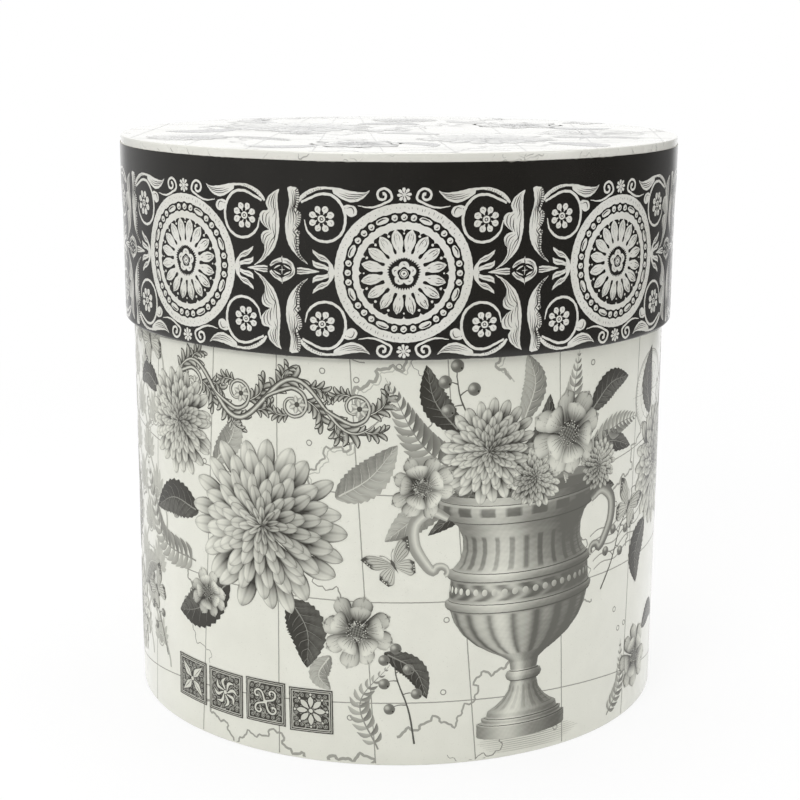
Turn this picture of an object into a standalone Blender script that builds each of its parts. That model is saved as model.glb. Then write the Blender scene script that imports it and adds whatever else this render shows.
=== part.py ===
"""Round rigid-board gift box with a deep lift-off lid, each board covered in its own papers.

Metres, +Z up, front at -Y. The origin is the middle of the underside, on the surface that the
box stands on. The lid is on. Board pieces are turned shapes. Each paper is a flat sheet, cut
with its tabs and its lap, folded over its board and then given its thickness.
"""

import math

import bmesh
import bpy

# The body, over its papers
BODY_RADIUS = 0.0966
BODY_HEIGHT = 0.1995

# The lid, over its papers
LID_DEPTH = 0.0646
EDGE_STRIP = 0.0029  # what shows of the top paper above the band

# Board
BODY_WALL = 0.0018
BASE_BOARD = 0.0020
RIM_WALL = 0.0015
LID_BOARD = 0.0020

# Paper
PAPER = 0.0002
LAP = 0.0120  # how far a wrap's outer end lies over its inner end
LAP_GAP = 0.00015  # glue line in a lap
BUTT_GAP = 0.0008  # between the two ends of a sheet that meet edge to edge

# Folds, tabs and turn-ins
BODY_TURN_IN = 0.0150  # body wrap, down the inside of the wall
BODY_TAB = 0.0120  # body wrap, under the base
LID_TAB = 0.0140  # top paper, down the outside of the rim, under the band
TAB_ROOT = 0.0070  # uncut part of the top paper's turn-down
RIM_TURN_IN = 0.0120  # band, up the inside of the rim
BAND_EASE = 0.0120  # height in which the band comes in from the tabs to the board
NOTCH = 0.0022  # cut between two tabs
LINING_SHOW = 0.0050  # what shows of the body wrap's turn-in above the lining
LINING_EASE = 0.0015  # height in which the lining steps in over the turn-in
BASE_PAPER_MARGIN = 0.0025  # from the base paper's edge to the wall's outside

# Clearances
GLUE_GAP = 0.0003  # between two glued layers
SEAT_GAP = 0.0003  # between the body's rim and the lid's lining, closed
LID_CLEARANCE = 0.0003  # between the lid's lining and the body wrap's lap

# Facets and places round the axis
SEGMENTS = 72
SEGMENTS_PER_TAB = 2
BODY_SEAM_DEG = 90.0
BAND_SEAM_DEG = 65.0
BODY_LINING_SEAM_DEG = 110.0
RIM_LINING_SEAM_DEG = 75.0
SHARP_DEG = 30.0

# Levels and radii of the body
LAP_STEP = PAPER + LAP_GAP
WALL_OUTER = BODY_RADIUS - PAPER - GLUE_GAP
WALL_INNER = WALL_OUTER - BODY_WALL
WALL_BOTTOM = PAPER + GLUE_GAP + PAPER + GLUE_GAP
WALL_TOP = BODY_HEIGHT - PAPER - GLUE_GAP
BASE_TOP = WALL_BOTTOM + BASE_BOARD
LINING_RADIUS = WALL_INNER - GLUE_GAP

# Levels and radii of the lid
BOARD_UNDER = BODY_HEIGHT + SEAT_GAP + PAPER + GLUE_GAP
BOARD_TOP = BOARD_UNDER + LID_BOARD
LID_TOP = BOARD_TOP + GLUE_GAP + PAPER
RIM_BOTTOM = LID_TOP - LID_DEPTH + PAPER + GLUE_GAP
RIM_LINING_RADIUS = BODY_RADIUS + LAP_STEP + LID_CLEARANCE + PAPER
RIM_INNER = RIM_LINING_RADIUS + GLUE_GAP
RIM_OUTER = RIM_INNER + RIM_WALL
TAB_END = BOARD_TOP - LID_TAB

STEP = 2 * math.pi / SEGMENTS


def finish(name, srgb, roughness):
    """A plain material from a colour written as 0 to 255."""
    material = bpy.data.materials.new(name)
    material.use_nodes = True
    shader = material.node_tree.nodes["Principled BSDF"]
    linear = [((c / 255 + 0.055) / 1.055) ** 2.4 for c in srgb]
    shader.inputs["Base Color"].default_value = (*linear, 1)
    shader.inputs["Roughness"].default_value = roughness
    shader.inputs["Metallic"].default_value = 0
    material.diffuse_color = (*linear, 1)
    return material


def add_object(name, bm, material):
    """Puts a mesh into the scene under its piece's name, shaded smooth with crisp folds."""
    mesh = bpy.data.meshes.new(name)
    bm.to_mesh(mesh)
    bm.free()
    mesh.materials.append(material)
    mesh.shade_smooth()
    mesh.set_sharp_from_angle(angle=math.radians(SHARP_DEG))
    piece = bpy.data.objects.new(name, mesh)
    bpy.context.scene.collection.objects.link(piece)
    return piece


def disc(name, radius, bottom, thickness, material):
    """A flat round board or paper."""
    bm = bmesh.new()
    bmesh.ops.create_cone(
        bm, cap_ends=True, segments=SEGMENTS, radius1=radius, radius2=radius, depth=thickness
    )
    bmesh.ops.translate(bm, verts=bm.verts, vec=(0, 0, bottom + thickness / 2))
    return add_object(name, bm, material)


def tube(name, inner, outer, bottom, top, material):
    """A length of board tube: its wall's section, spun about the axis."""
    bm = bmesh.new()
    section = [(inner, bottom), (outer, bottom), (outer, top), (inner, top)]
    corners = [bm.verts.new((radius, 0, height)) for radius, height in section]
    edges = [bm.edges.new((corners[i - 1], corners[i])) for i in range(len(corners))]
    bmesh.ops.spin(
        bm, geom=corners + edges, axis=(0, 0, 1), cent=(0, 0, 0), angle=2 * math.pi,
        steps=SEGMENTS, use_merge=True, use_normal_flip=False,
    )
    bmesh.ops.recalc_face_normals(bm, faces=bm.faces)
    return add_object(name, bm, material)


def columns_round(seam, radius, notch=0.0, lap=0.0):
    """The sheet's fold lines round the axis, from its seam.

    Returns the angles, the number of cells before the lap, and the cells that are cut out
    between tabs. The lap's lines go on past the full turn.
    """
    angles, notches = [], set()
    half = notch / radius / 2
    for k in range(SEGMENTS):
        here = seam + k * STEP
        if notch and k and k % SEGMENTS_PER_TAB == 0:
            notches.add(len(angles))
            angles += [here - half, here + half]
        else:
            angles.append(here)
    full_turn = seam + 2 * math.pi
    angles.append(full_turn - BUTT_GAP / radius)
    cells = len(angles) - 1
    if lap:
        reach = lap / radius
        angles += [full_turn + k * STEP for k in range(math.ceil(reach / STEP))]
        angles.append(full_turn + reach)
    return angles, cells, notches


def sheet(name, path, seam_deg, material, tab_row=None, notch=0.0, lap_row=None):
    """A paper laid over its board.

    path holds (radius, height) along the board, walked so that the board is on the right hand
    where the sheet comes down its outside. Row tab_row is cut into tabs. Row lap_row, the
    upright one that shows, goes on over the sheet's own start as the lap. A path that starts on
    the axis makes a round sheet with no seam.
    """
    bm = bmesh.new()
    round_sheet = path[0][0] == 0
    radius = max(r for r, _ in path)
    lap = LAP if lap_row is not None else 0.0
    angles, cells, notches = columns_round(math.radians(seam_deg), radius, notch, lap)
    if round_sheet:
        angles = angles[:cells]
    verts = {}

    def vert(i, j):
        if round_sheet:
            i = i % cells
        r, z = path[j]
        if r == 0:
            i = 0
        if (i, j) not in verts:
            lift = LAP_STEP if i > cells and not round_sheet else 0.0
            turn = angles[i]
            place = ((r + lift) * math.cos(turn), (r + lift) * math.sin(turn), z)
            verts[i, j] = bm.verts.new(place)
        return verts[i, j]

    for i in range(cells if round_sheet else len(angles) - 1):
        for j in range(len(path) - 1):
            in_notch = j == tab_row and i in notches
            off_lap = i >= cells and j != lap_row
            if in_notch or off_lap:
                continue
            ring = [vert(i, j), vert(i, j + 1), vert(i + 1, j + 1), vert(i + 1, j)]
            bm.faces.new(list(dict.fromkeys(ring)))
    piece = add_object(name, bm, material)
    solidify = piece.modifiers.new("paper", "SOLIDIFY")
    solidify.thickness = PAPER
    solidify.offset = 1
    solidify.use_even_offset = True
    solidify.use_quality_normals = True
    return piece


def make_body(board, printed, plain, lining):
    """The box: a tube with a base set into its foot, wrapped outside and lined inside."""
    tube("body_wall", WALL_INNER, WALL_OUTER, WALL_BOTTOM, WALL_TOP, board)
    disc("base_board", WALL_INNER - GLUE_GAP, WALL_BOTTOM, BASE_BOARD, board)

    wrap_path = [
        (WALL_INNER - GLUE_GAP, WALL_TOP - BODY_TURN_IN),
        (WALL_INNER - GLUE_GAP, WALL_TOP),
        (WALL_INNER, WALL_TOP + GLUE_GAP),
        (WALL_OUTER, WALL_TOP + GLUE_GAP),
        (WALL_OUTER + GLUE_GAP, WALL_TOP),
        (WALL_OUTER + GLUE_GAP, WALL_BOTTOM),
        (WALL_OUTER, WALL_BOTTOM - GLUE_GAP),
        (WALL_OUTER - BODY_TAB, WALL_BOTTOM - GLUE_GAP),
    ]
    sheet("body_wrap", wrap_path, BODY_SEAM_DEG, printed, tab_row=6, notch=NOTCH, lap_row=4)
    disc("base_paper", WALL_OUTER - BASE_PAPER_MARGIN, 0.0, PAPER, plain)

    over_turn_in = LINING_RADIUS - PAPER - GLUE_GAP
    step_top = WALL_TOP - BODY_TURN_IN - GLUE_GAP
    lining_path = [
        (LINING_RADIUS, BASE_TOP + GLUE_GAP),
        (LINING_RADIUS, step_top - LINING_EASE),
        (over_turn_in, step_top),
        (over_turn_in, WALL_TOP - LINING_SHOW),
    ]
    sheet("body_lining", lining_path, BODY_LINING_SEAM_DEG, lining)
    floor_radius = LINING_RADIUS - PAPER - GLUE_GAP
    disc("floor_lining", floor_radius, BASE_TOP + GLUE_GAP, PAPER, lining)


def make_lid(board, printed, band, lining):
    """The lid: a board set into the top of a rim, a top paper, a band over its tabs, linings."""
    tube("lid_rim", RIM_INNER, RIM_OUTER, RIM_BOTTOM, BOARD_TOP, board)
    disc("lid_board", RIM_INNER - GLUE_GAP, BOARD_UNDER, LID_BOARD, board)

    top_path = [
        (0.0, BOARD_TOP + GLUE_GAP),
        (RIM_OUTER, BOARD_TOP + GLUE_GAP),
        (RIM_OUTER + GLUE_GAP, BOARD_TOP),
        (RIM_OUTER + GLUE_GAP, BOARD_TOP - TAB_ROOT),
        (RIM_OUTER + GLUE_GAP, TAB_END),
    ]
    sheet("lid_top_paper", top_path, BAND_SEAM_DEG, printed, tab_row=3, notch=NOTCH)

    over_tabs = RIM_OUTER + GLUE_GAP + PAPER + GLUE_GAP
    band_path = [
        (over_tabs, LID_TOP - EDGE_STRIP),
        (over_tabs, TAB_END),
        (RIM_OUTER + GLUE_GAP, TAB_END - BAND_EASE),
        (RIM_OUTER + GLUE_GAP, RIM_BOTTOM),
        (RIM_OUTER, RIM_BOTTOM - GLUE_GAP),
        (RIM_INNER, RIM_BOTTOM - GLUE_GAP),
        (RIM_INNER - GLUE_GAP, RIM_BOTTOM),
        (RIM_INNER - GLUE_GAP, RIM_BOTTOM + RIM_TURN_IN),
    ]
    sheet("lid_band", band_path, BAND_SEAM_DEG, band, lap_row=2)

    lining_path = [
        (RIM_INNER - GLUE_GAP, RIM_BOTTOM + RIM_TURN_IN + GLUE_GAP),
        (RIM_INNER - GLUE_GAP, BOARD_UNDER - GLUE_GAP),
    ]
    sheet("rim_lining", lining_path, RIM_LINING_SEAM_DEG, lining)
    disc_radius = RIM_INNER - GLUE_GAP - PAPER - GLUE_GAP
    disc("lid_lining", disc_radius, BODY_HEIGHT + SEAT_GAP, PAPER, lining)


def main():
    for old in list(bpy.data.objects):
        bpy.data.objects.remove(old, do_unlink=True)
    board = finish("greyboard", (150, 143, 131), 0.95)
    printed = finish("printed_ivory_paper", (224, 223, 213), 0.45)
    band = finish("printed_black_paper", (38, 36, 34), 0.35)
    plain = finish("plain_base_paper", (226, 224, 216), 0.80)
    lining = finish("white_lining_paper", (238, 237, 232), 0.75)
    make_body(board, printed, plain, lining)
    make_lid(board, printed, band, lining)


main()
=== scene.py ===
# Round flower box: its papers, prints, light and camera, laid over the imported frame.
# Lengths are millimetres in the flat sheet and turned into metres when a mesh is made.
import math

import bpy
import numpy as np
from mathutils import Matrix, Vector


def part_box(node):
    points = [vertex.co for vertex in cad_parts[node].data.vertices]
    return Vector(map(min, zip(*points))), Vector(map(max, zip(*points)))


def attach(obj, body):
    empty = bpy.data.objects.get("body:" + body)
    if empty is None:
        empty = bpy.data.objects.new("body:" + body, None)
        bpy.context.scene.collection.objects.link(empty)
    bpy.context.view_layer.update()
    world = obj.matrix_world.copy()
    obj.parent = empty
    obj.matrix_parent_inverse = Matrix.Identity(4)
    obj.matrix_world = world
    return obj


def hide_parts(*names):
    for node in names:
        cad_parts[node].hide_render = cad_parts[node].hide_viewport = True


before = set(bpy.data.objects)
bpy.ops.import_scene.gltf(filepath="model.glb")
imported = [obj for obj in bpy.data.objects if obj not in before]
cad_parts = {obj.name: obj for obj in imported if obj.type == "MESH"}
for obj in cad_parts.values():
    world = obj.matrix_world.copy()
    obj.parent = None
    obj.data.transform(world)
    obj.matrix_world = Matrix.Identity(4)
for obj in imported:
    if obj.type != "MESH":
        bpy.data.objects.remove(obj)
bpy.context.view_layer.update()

mm = 0.001
fullTurn = 2 * math.pi
front = -math.pi / 2  # the side that the camera sees
scene = bpy.context.scene
scene.view_settings.view_transform = "Standard"


def addThing(name, data):
    # A new object in the scene.
    thing = bpy.data.objects.new(name, data)
    scene.collection.objects.link(thing)
    return thing


def nodeSpan(node):
    # Lowest and highest height and the greatest radius of a frame node, in mm.
    low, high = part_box(node)
    return low[2] / mm, high[2] / mm, high[0] / mm


bodyTop, bodyRadius = nodeSpan("body_wrap")[1:]
wallTop, wallRadius = nodeSpan("body_wall")[1:]
bandBottom, bandTop = nodeSpan("lid_band")[:2]
tabEnd, lidTop = nodeSpan("lid_top_paper")[:2]
rimRadius = nodeSpan("lid_rim")[2]
liningBottom, liningTop, liningRadius = nodeSpan("body_lining")
rimLiningBottom, rimLiningTop, rimLiningRadius = nodeSpan("rim_lining")
floorTop, floorRadius = nodeSpan("floor_lining")[1:]
lidLiningBottom, lidLiningRadius = nodeSpan("lid_lining")[::2]
basePaperBottom, basePaperRadius = nodeSpan("base_paper")[::2]


# Curves and patches

def smoothCurve(points, count):
    # Catmull-Rom: each stretch is a cubic whose end slopes are half the step between neighbours.
    p = np.asarray(points, float)
    if p.ndim == 1:
        p = p[:, None]
    p = np.vstack([2 * p[0] - p[1], p, 2 * p[-1] - p[-2]])
    t = np.linspace(0, len(p) - 3, count)
    i = np.minimum(t.astype(int), len(p) - 4)
    f = (t - i)[:, None]
    a, b, c, d = p[i], p[i + 1], p[i + 2], p[i + 3]
    return 0.5 * (2 * b + (c - a) * f + (2 * a - 5 * b + 4 * c - d) * f**2
                  + (3 * b - a - 3 * c + d) * f**3)


def ease(x):
    # 0 below 0, 1 above 1, and the smooth cubic 3x2 - 2x3 between.
    x = np.clip(x, 0, 1)
    return x * x * (3 - 2 * x)


def shares(rows, columns):
    # How far along (0 to 1, down the rows) and across (-1 to 1, along the columns).
    return np.linspace(0, 1, rows)[:, None], np.linspace(-1, 1, columns)[None, :]


def blade(points, halves, rows, columns):
    # A blade: each point of a curved midline moved sideways by its half-width times t.
    path = smoothCurve(points, rows)
    half = np.asarray(halves, float)
    if half.size != rows:
        half = smoothCurve(half, rows)[:, 0]
    step = np.gradient(path, axis=0)
    step /= np.maximum(np.hypot(step[:, 0], step[:, 1]), 1e-9)[:, None]
    side = np.maximum(half, 0.01)[:, None] * np.linspace(-1, 1, columns)
    return path[:, :1] - step[:, 1:] * side, path[:, 1:] + step[:, :1] * side


def stroke(points, halves, grain=0.36, across=2):
    # A drawn line: a blade whose rows are about a grain apart.
    rough = smoothCurve(points, 60)
    length = np.hypot(*np.diff(rough, axis=0).T).sum()
    return blade(points, halves, max(4, int(length / grain) + 1), across)


def between(edgeA, edgeB, rows, columns=5):
    # The patch between two edge curves: straight lines across from one to the other.
    a, b = smoothCurve(edgeA, rows), smoothCurve(edgeB, rows)
    t = np.linspace(0, 1, columns)
    return a[:, :1] * (1 - t) + b[:, :1] * t, a[:, 1:] * (1 - t) + b[:, 1:] * t


def along(edgeA, edgeB, share, start, stop, half, grain=0.5):
    # A stroke that keeps its share of the way between two edges, from start to stop.
    steps = 40
    x, y = between(edgeA, edgeB, steps + 1, 2)
    keep = slice(int(start * steps), int(stop * steps) + 1)
    mid = np.stack([x[:, 0] * (1 - share) + x[:, 1] * share,
                    y[:, 0] * (1 - share) + y[:, 1] * share], 1)[keep]
    return stroke(mid[:: max(1, len(mid) // 8)], [0.02, half, half, 0.02], grain)


def ring(inner, outer, columns, rows=2, start=0.0, sweep=fullTurn):
    # A ring: radius across, angle along. inner and outer may be arrays over the angle.
    turn = start + np.linspace(0, sweep, columns + 1)
    t = np.linspace(0, 1, rows)
    inner = np.broadcast_to(inner, turn.shape)[:, None]
    outer = np.broadcast_to(outer, turn.shape)[:, None]
    radius = inner * (1 - t) + outer * t
    return radius * np.cos(turn)[:, None], radius * np.sin(turn)[:, None]


def dot(radius, cells=4, stretch=1.0):
    # A filled disc: a square grid pressed into a circle, x = s sqrt(1 - t2/2).
    s = np.linspace(-1, 1, cells + 1)
    s, t = np.meshgrid(s, s, indexing="ij")
    return radius * stretch * s * np.sqrt(1 - t * t / 2), radius * t * np.sqrt(1 - s * s / 2)


def polar(radius, angle):
    # The point at a radius and an angle.
    return radius * math.cos(angle), radius * math.sin(angle)


def aboutAxis(radius, turn, height):
    # Points at a radius and an angle from the box's axis, with x, y and z last.
    return np.stack(np.broadcast_arrays(radius * np.cos(turn), radius * np.sin(turn), height), -1)


def placed(patch, at=(0, 0), turn=0.0, size=1.0):
    # A patch scaled, turned and moved: x cos - y sin and x sin + y cos, plus the place.
    x, y = patch[0] * size, patch[1] * size
    c, s = math.cos(turn), math.sin(turn)
    return x * c - y * s + at[0], x * s + y * c + at[1]


# Ink: patches gathered in flat sheet coordinates

levelStep = 0.003  # mm by which each level of a drawing lies over the one below
leastArea = 1e-6  # quads smaller than this are left out


def newInk():
    # An empty drawing: lists of what each patch adds, and how many points there are so far.
    return {"x": [], "y": [], "tone": [], "level": [], "quads": [], "count": 0}


def gridQuads(index):
    # Quads that join neighbouring rows and columns of a grid of point numbers.
    return np.stack([index[:-1, :-1], index[:-1, 1:], index[1:, 1:], index[1:, :-1]], -1)


def stamp(ink, motif, at=(0, 0), turn=0.0, size=1.0, flip=(1, 1)):
    # Adds a motif, a list of (patch, tone, level), mirrored, scaled, turned and moved: each
    # patch's points with their tone and level, and the quads of its grid.
    for (x, y), tone, level in motif:
        x, y = placed((x * flip[0], y * flip[1]), at, turn, size)
        index = ink["count"] + np.arange(x.size).reshape(x.shape)
        ink["x"].append(x.ravel())
        ink["y"].append(y.ravel())
        ink["tone"].append(np.broadcast_to(tone, x.shape).ravel())
        ink["level"].append(np.full(x.size, float(level)))
        ink["quads"].append(gridQuads(index).reshape(-1, 4))
        ink["count"] += x.size


def around(count, patch, tone, level, first=0.0, at=(0, 0)):
    # A motif of one patch repeated round a point, count times in a full turn.
    return [(placed(patch, at, k * fullTurn / count + first), tone, level) for k in range(count)]


def meshPiece(name, points, quads, body, materials, maps=None, tone=None):
    # Makes a piece from arrays: points in metres, quads, and optional unrolled places and tone.
    mesh = bpy.data.meshes.new(name)
    mesh.vertices.add(len(points))
    mesh.vertices.foreach_set("co", np.asarray(points, np.float32).ravel())
    mesh.loops.add(quads.size)
    mesh.loops.foreach_set("vertex_index", quads.ravel().astype(np.int32))
    mesh.polygons.add(len(quads))
    mesh.polygons.foreach_set("loop_start", np.arange(0, quads.size, 4, dtype=np.int32))
    mesh.update(calc_edges=True)
    mesh.shade_smooth()
    if maps is not None:
        layer = mesh.uv_layers.new(name="OFBake")
        layer.data.foreach_set("uv", np.asarray(maps, np.float32)[quads.ravel()].ravel())
    if tone is not None:
        mark = mesh.attributes.new("tone", "FLOAT", "POINT")
        mark.data.foreach_set("value", np.asarray(tone, np.float32))
    for material in materials:
        mesh.materials.append(material)
    piece = addThing(name, mesh)
    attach(piece, body)
    return piece


mapMargin = 0.01  # left free at each side of an unrolled map


def unrolled(values):
    # The drawing's own span spread over the map between its margins, so that it is used whole.
    low, high = values.min(), values.max()
    return mapMargin + (1 - 2 * mapMargin) * (values - low) / (high - low)


once = {"count": 1, "pitch": 0.0, "start": 0.0, "up": 0.0}  # for a drawing that isn't tiled


def inkPiece(name, ink, wrapTo, body, material, tiling, lift, limits=None):
    # Puts a drawing on a surface, once for each tile: wrapTo(x, y, height) gives mm, and height is
    # the piece's lift plus a step for each level. Quads are laid level by level, all facing out.
    x, y, tone, level, quads = (np.concatenate(ink[key])
                                for key in ("x", "y", "tone", "level", "quads"))
    if limits:
        x, y = limits(x, y)
    qx, qy = x[quads], y[quads]
    area = ((qx * np.roll(qy, -1, 1)) - (np.roll(qx, -1, 1) * qy)).sum(1)
    quads = np.where(area[:, None] < 0, quads[:, ::-1], quads)
    quads = quads[np.abs(area) > leastArea]
    quads = quads[np.argsort(level[quads[:, 0]], kind="stable")]
    maps = np.stack([unrolled(x), unrolled(y)], 1)
    steps = tiling["start"] + tiling["pitch"] * np.arange(tiling["count"])
    height = lift + levelStep * level
    points = np.vstack([wrapTo(x + step, y + tiling["up"], height) for step in steps])
    quads = np.vstack([quads + k * x.size for k in range(tiling["count"])])
    meshPiece(name, points * mm, quads, body, [material],
              np.tile(maps, (tiling["count"], 1)), np.tile(tone, tiling["count"]))
    print("ink", name, len(quads), "quads")


# Materials

def paint(red, green, blue):
    # A colour written as 0 to 255, as the shader wants it: ((c / 255 + 0.055) / 1.055)^2.4.
    return tuple(((c / 255 + 0.055) / 1.055) ** 2.4 for c in (red, green, blue)) + (1.0,)


def feed(tree, node, inputs):
    # Sets a node's inputs, each to a value or by a link from a socket.
    for key, value in inputs.items():
        if isinstance(value, bpy.types.NodeSocket):
            tree.links.new(value, node.inputs[key])
        else:
            node.inputs[key].default_value = value


def addNode(tree, kind, inputs=None, **settings):
    # A new node with its settings, then its inputs.
    made = tree.nodes.new(kind)
    for key, value in settings.items():
        setattr(made, key, value)
    feed(tree, made, inputs or {})
    return made


def mathNode(tree, operation, *values, clamp=False):
    # One step of arithmetic on sockets or numbers, as its output socket.
    return addNode(tree, "ShaderNodeMath", dict(enumerate(values)), operation=operation,
                   use_clamp=clamp).outputs[0]


def mapRange(tree, value, low, high, toLow=0.0, toHigh=1.0, **settings):
    # A value's span from low to high becomes toLow to toHigh, as the output socket.
    return addNode(tree, "ShaderNodeMapRange", {
        "Value": value, "From Min": low, "From Max": high, "To Min": toLow, "To Max": toHigh,
    }, **settings).outputs["Result"]


def newGroup(name, inputs, outputs):
    # A node group whose sockets are numbers: inputs with their values, and outputs by name.
    group = bpy.data.node_groups.new(name, "ShaderNodeTree")
    number = {"socket_type": "NodeSocketFloat"}
    for label, value in inputs.items():
        group.interface.new_socket(label, in_out="INPUT", **number).default_value = value
    for label in outputs:
        group.interface.new_socket(label, in_out="OUTPUT", **number)
    return group, group.nodes.new("NodeGroupInput"), group.nodes.new("NodeGroupOutput")


def paperGrainGroup():
    # Paper: cloudy mottle and fine fibre as masks, and fibre plus 6 times board waver as height.
    group, into, out = newGroup(
        "paperGrain", {"Mottle Scale": 60.0, "Fibre Scale": 2200.0, "Waver Scale": 28.0},
        ("Mottle", "Fibre", "Height"))
    place = addNode(group, "ShaderNodeTexCoord").outputs["Object"]
    mottle, fibre, board = (
        addNode(group, "ShaderNodeTexNoise", {"Vector": place, "Scale": into.outputs[scale], **more})
        for scale, more in (("Mottle Scale", {"Detail": 4.0, "Roughness": 0.6}),
                            ("Fibre Scale", {"Detail": 3.0, "Distortion": 0.6}),
                            ("Waver Scale", {"Detail": 1.0})))
    low = mathNode(group, "MULTIPLY", board.outputs["Fac"], 6.0)
    high = mathNode(group, "ADD", fibre.outputs["Fac"], low)
    feed(group, out, {"Mottle": mottle.outputs["Fac"], "Fibre": fibre.outputs["Fac"],
                      "Height": high})
    return group


rubLook = {"fleckScale": 420.0, "patchScale": 45.0, "threshold": 0.24, "sharpness": 14.0}


def rubGroup():
    # Rubbed edges: 1 at two heights, falling to 0 within the reach, times two noises, and then
    # sharpened about a threshold so that only flecks are left.
    group, into, out = newGroup(
        "rubbedEdge", {"Low Edge": 0.0, "High Edge": 0.2, "Reach": 0.0012, "Amount": 0.5},
        ("Mask",))
    place = addNode(group, "ShaderNodeTexCoord").outputs["Object"]
    height = addNode(group, "ShaderNodeSeparateXYZ", {0: place}).outputs["Z"]
    near = []
    for label in ("Low Edge", "High Edge"):
        gap = mathNode(group, "ABSOLUTE", mathNode(group, "SUBTRACT", height, into.outputs[label]))
        share = mathNode(group, "DIVIDE", gap, into.outputs["Reach"])
        near.append(mathNode(group, "SUBTRACT", 1.0, share, clamp=True))
    edge = mathNode(group, "MAXIMUM", *near)
    flecks = addNode(group, "ShaderNodeTexNoise", {
        "Vector": place, "Scale": rubLook["fleckScale"], "Detail": 5.0})
    patches = addNode(group, "ShaderNodeTexNoise", {
        "Vector": place, "Scale": rubLook["patchScale"], "Detail": 2.0})
    worn = mathNode(group, "MULTIPLY", flecks.outputs["Fac"], patches.outputs["Fac"])
    worn = mathNode(group, "MULTIPLY", worn, edge)
    worn = mathNode(group, "SUBTRACT", worn, rubLook["threshold"])
    worn = mathNode(group, "MULTIPLY", worn, rubLook["sharpness"], clamp=True)
    worn = mathNode(group, "MULTIPLY", worn, into.outputs["Amount"])
    feed(group, out, {"Mask": worn})
    return group


paperGrain = paperGrainGroup()
rubbedEdge = rubGroup()


def blendColour(tree, factor, colourA, colourB):
    # Mixes two colours by a mask. The node's colour sockets are 6 and 7, and 2 of its outputs.
    return addNode(tree, "ShaderNodeMix", {0: factor, 6: colourA, 7: colourB},
                   data_type="RGBA").outputs[2]


speckSoft = 0.03  # how much fibre noise it takes for a fleck to come in
mottleSpan = 0.35, 0.65  # the mottle that takes a paper from its colour to its shade
roughFrom = 0.3, 0.7  # and the mottle that takes it from smooth to rough
roughSpread = 0.04, 0.05  # roughness under and over a paper's own
bumpDepth = 0.00002
coatRough = 0.16  # of the clear film on the outer papers


def paperMaterial(name, look):
    # A paper: base colour with mottle, roughness from its mottle, bump from grain and waver.
    material = bpy.data.materials.new(name)
    material.use_nodes = True
    tree = material.node_tree
    shader = tree.nodes["Principled BSDF"]
    grain = addNode(tree, "ShaderNodeGroup", {"Fibre Scale": look.get("fibreScale", 2200.0)},
                    node_tree=paperGrain)
    mottle = mapRange(tree, grain.outputs["Mottle"], *mottleSpan)
    colour = blendColour(tree, mottle, look["colour"], look["shade"])
    if "speck" in look:  # flecks of fibre or missed ink
        low = look["speckFrom"]
        fleck = mapRange(tree, grain.outputs["Fibre"], low, low + speckSoft)
        colour = blendColour(tree, fleck, colour, look["speck"])
    if "ink" in look:  # a printed tone, 0 for full ink and 1 for bare paper
        tone = addNode(tree, "ShaderNodeAttribute", attribute_name="tone")
        colour = blendColour(tree, tone.outputs["Fac"], look["ink"], colour)
    if "rub" in look:
        rub = addNode(tree, "ShaderNodeGroup", {
            "Low Edge": look["rubLow"] * mm, "High Edge": look["rubHigh"] * mm,
            "Reach": look["rubReach"] * mm, "Amount": look["rubAmount"]}, node_tree=rubbedEdge)
        colour = blendColour(tree, rub.outputs["Mask"], colour, look["rub"])
    rough = mapRange(tree, grain.outputs["Mottle"], *roughFrom,
                     look["rough"] - roughSpread[0], look["rough"] + roughSpread[1])
    bump = addNode(tree, "ShaderNodeBump", {
        "Height": grain.outputs["Height"], "Strength": look.get("bump", 0.2), "Distance": bumpDepth})
    feed(tree, shader, {
        "Base Color": colour, "Roughness": rough, "Normal": bump.outputs["Normal"],
        "Coat Weight": look.get("coat", 0.0), "Coat Roughness": coatRough,
        "Specular IOR Level": look.get("specular", 0.5)})
    return material


ivory = dict(colour=paint(225, 225, 213), shade=paint(220, 220, 208), rough=0.36)
lidIvory = dict(colour=paint(229, 228, 220), shade=paint(225, 224, 216), rough=0.28, coat=1.0)
papers = {
    "ivory": dict(ivory, coat=1.0, speck=paint(208, 207, 195), speckFrom=0.66,
                  rub=paint(205, 203, 192), rubLow=0.3, rubHigh=bodyTop, rubReach=1.5,
                  rubAmount=0.6),
    "black": dict(colour=paint(27, 25, 21), shade=paint(32, 30, 26), rough=0.34, coat=1.0,
                  specular=0.0, speck=paint(58, 56, 53), speckFrom=0.69,
                  rub=paint(176, 173, 164), rubLow=bandBottom, rubHigh=bandTop, rubReach=0.9,
                  rubAmount=0.55),
    "cream": dict(colour=paint(225, 224, 217), shade=paint(216, 215, 206), rough=0.42, coat=1.0,
                  specular=0.35, speck=paint(120, 118, 110), speckFrom=0.70),
    "slit": dict(colour=paint(44, 42, 39), shade=paint(58, 55, 51), rough=0.38, coat=1.0,
                 specular=0.0),
    "print": dict(ivory, coat=0.72, specular=0.0, ink=paint(27, 23, 11)),
    "lidIvory": dict(lidIvory, speck=paint(212, 211, 202), speckFrom=0.66),
    # the lid's ink is paler than the box's: painted sheen, standing in for the reflection that
    # washes the top's print out when seen edge on
    "lidPrintPaledForSheen": dict(lidIvory, ink=paint(66, 64, 62)),
    "lining": dict(colour=paint(238, 237, 231), shade=paint(231, 230, 223), rough=0.78, bump=0.5,
                   speck=paint(214, 211, 202), speckFrom=0.68),
    "plain": dict(colour=paint(226, 223, 213), shade=paint(217, 213, 201), rough=0.82, bump=0.6,
                  speck=paint(186, 180, 166), speckFrom=0.66),
    "core": dict(colour=paint(236, 234, 226), shade=paint(225, 222, 212), rough=0.9),
    "greyboard": dict(colour=paint(150, 143, 131), shade=paint(136, 129, 117), rough=0.95,
                      bump=0.8, speck=paint(96, 88, 78), speckFrom=0.62, fibreScale=1200.0),
}
finishes = {key: paperMaterial(key + "Paper", look) for key, look in papers.items()}
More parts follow.
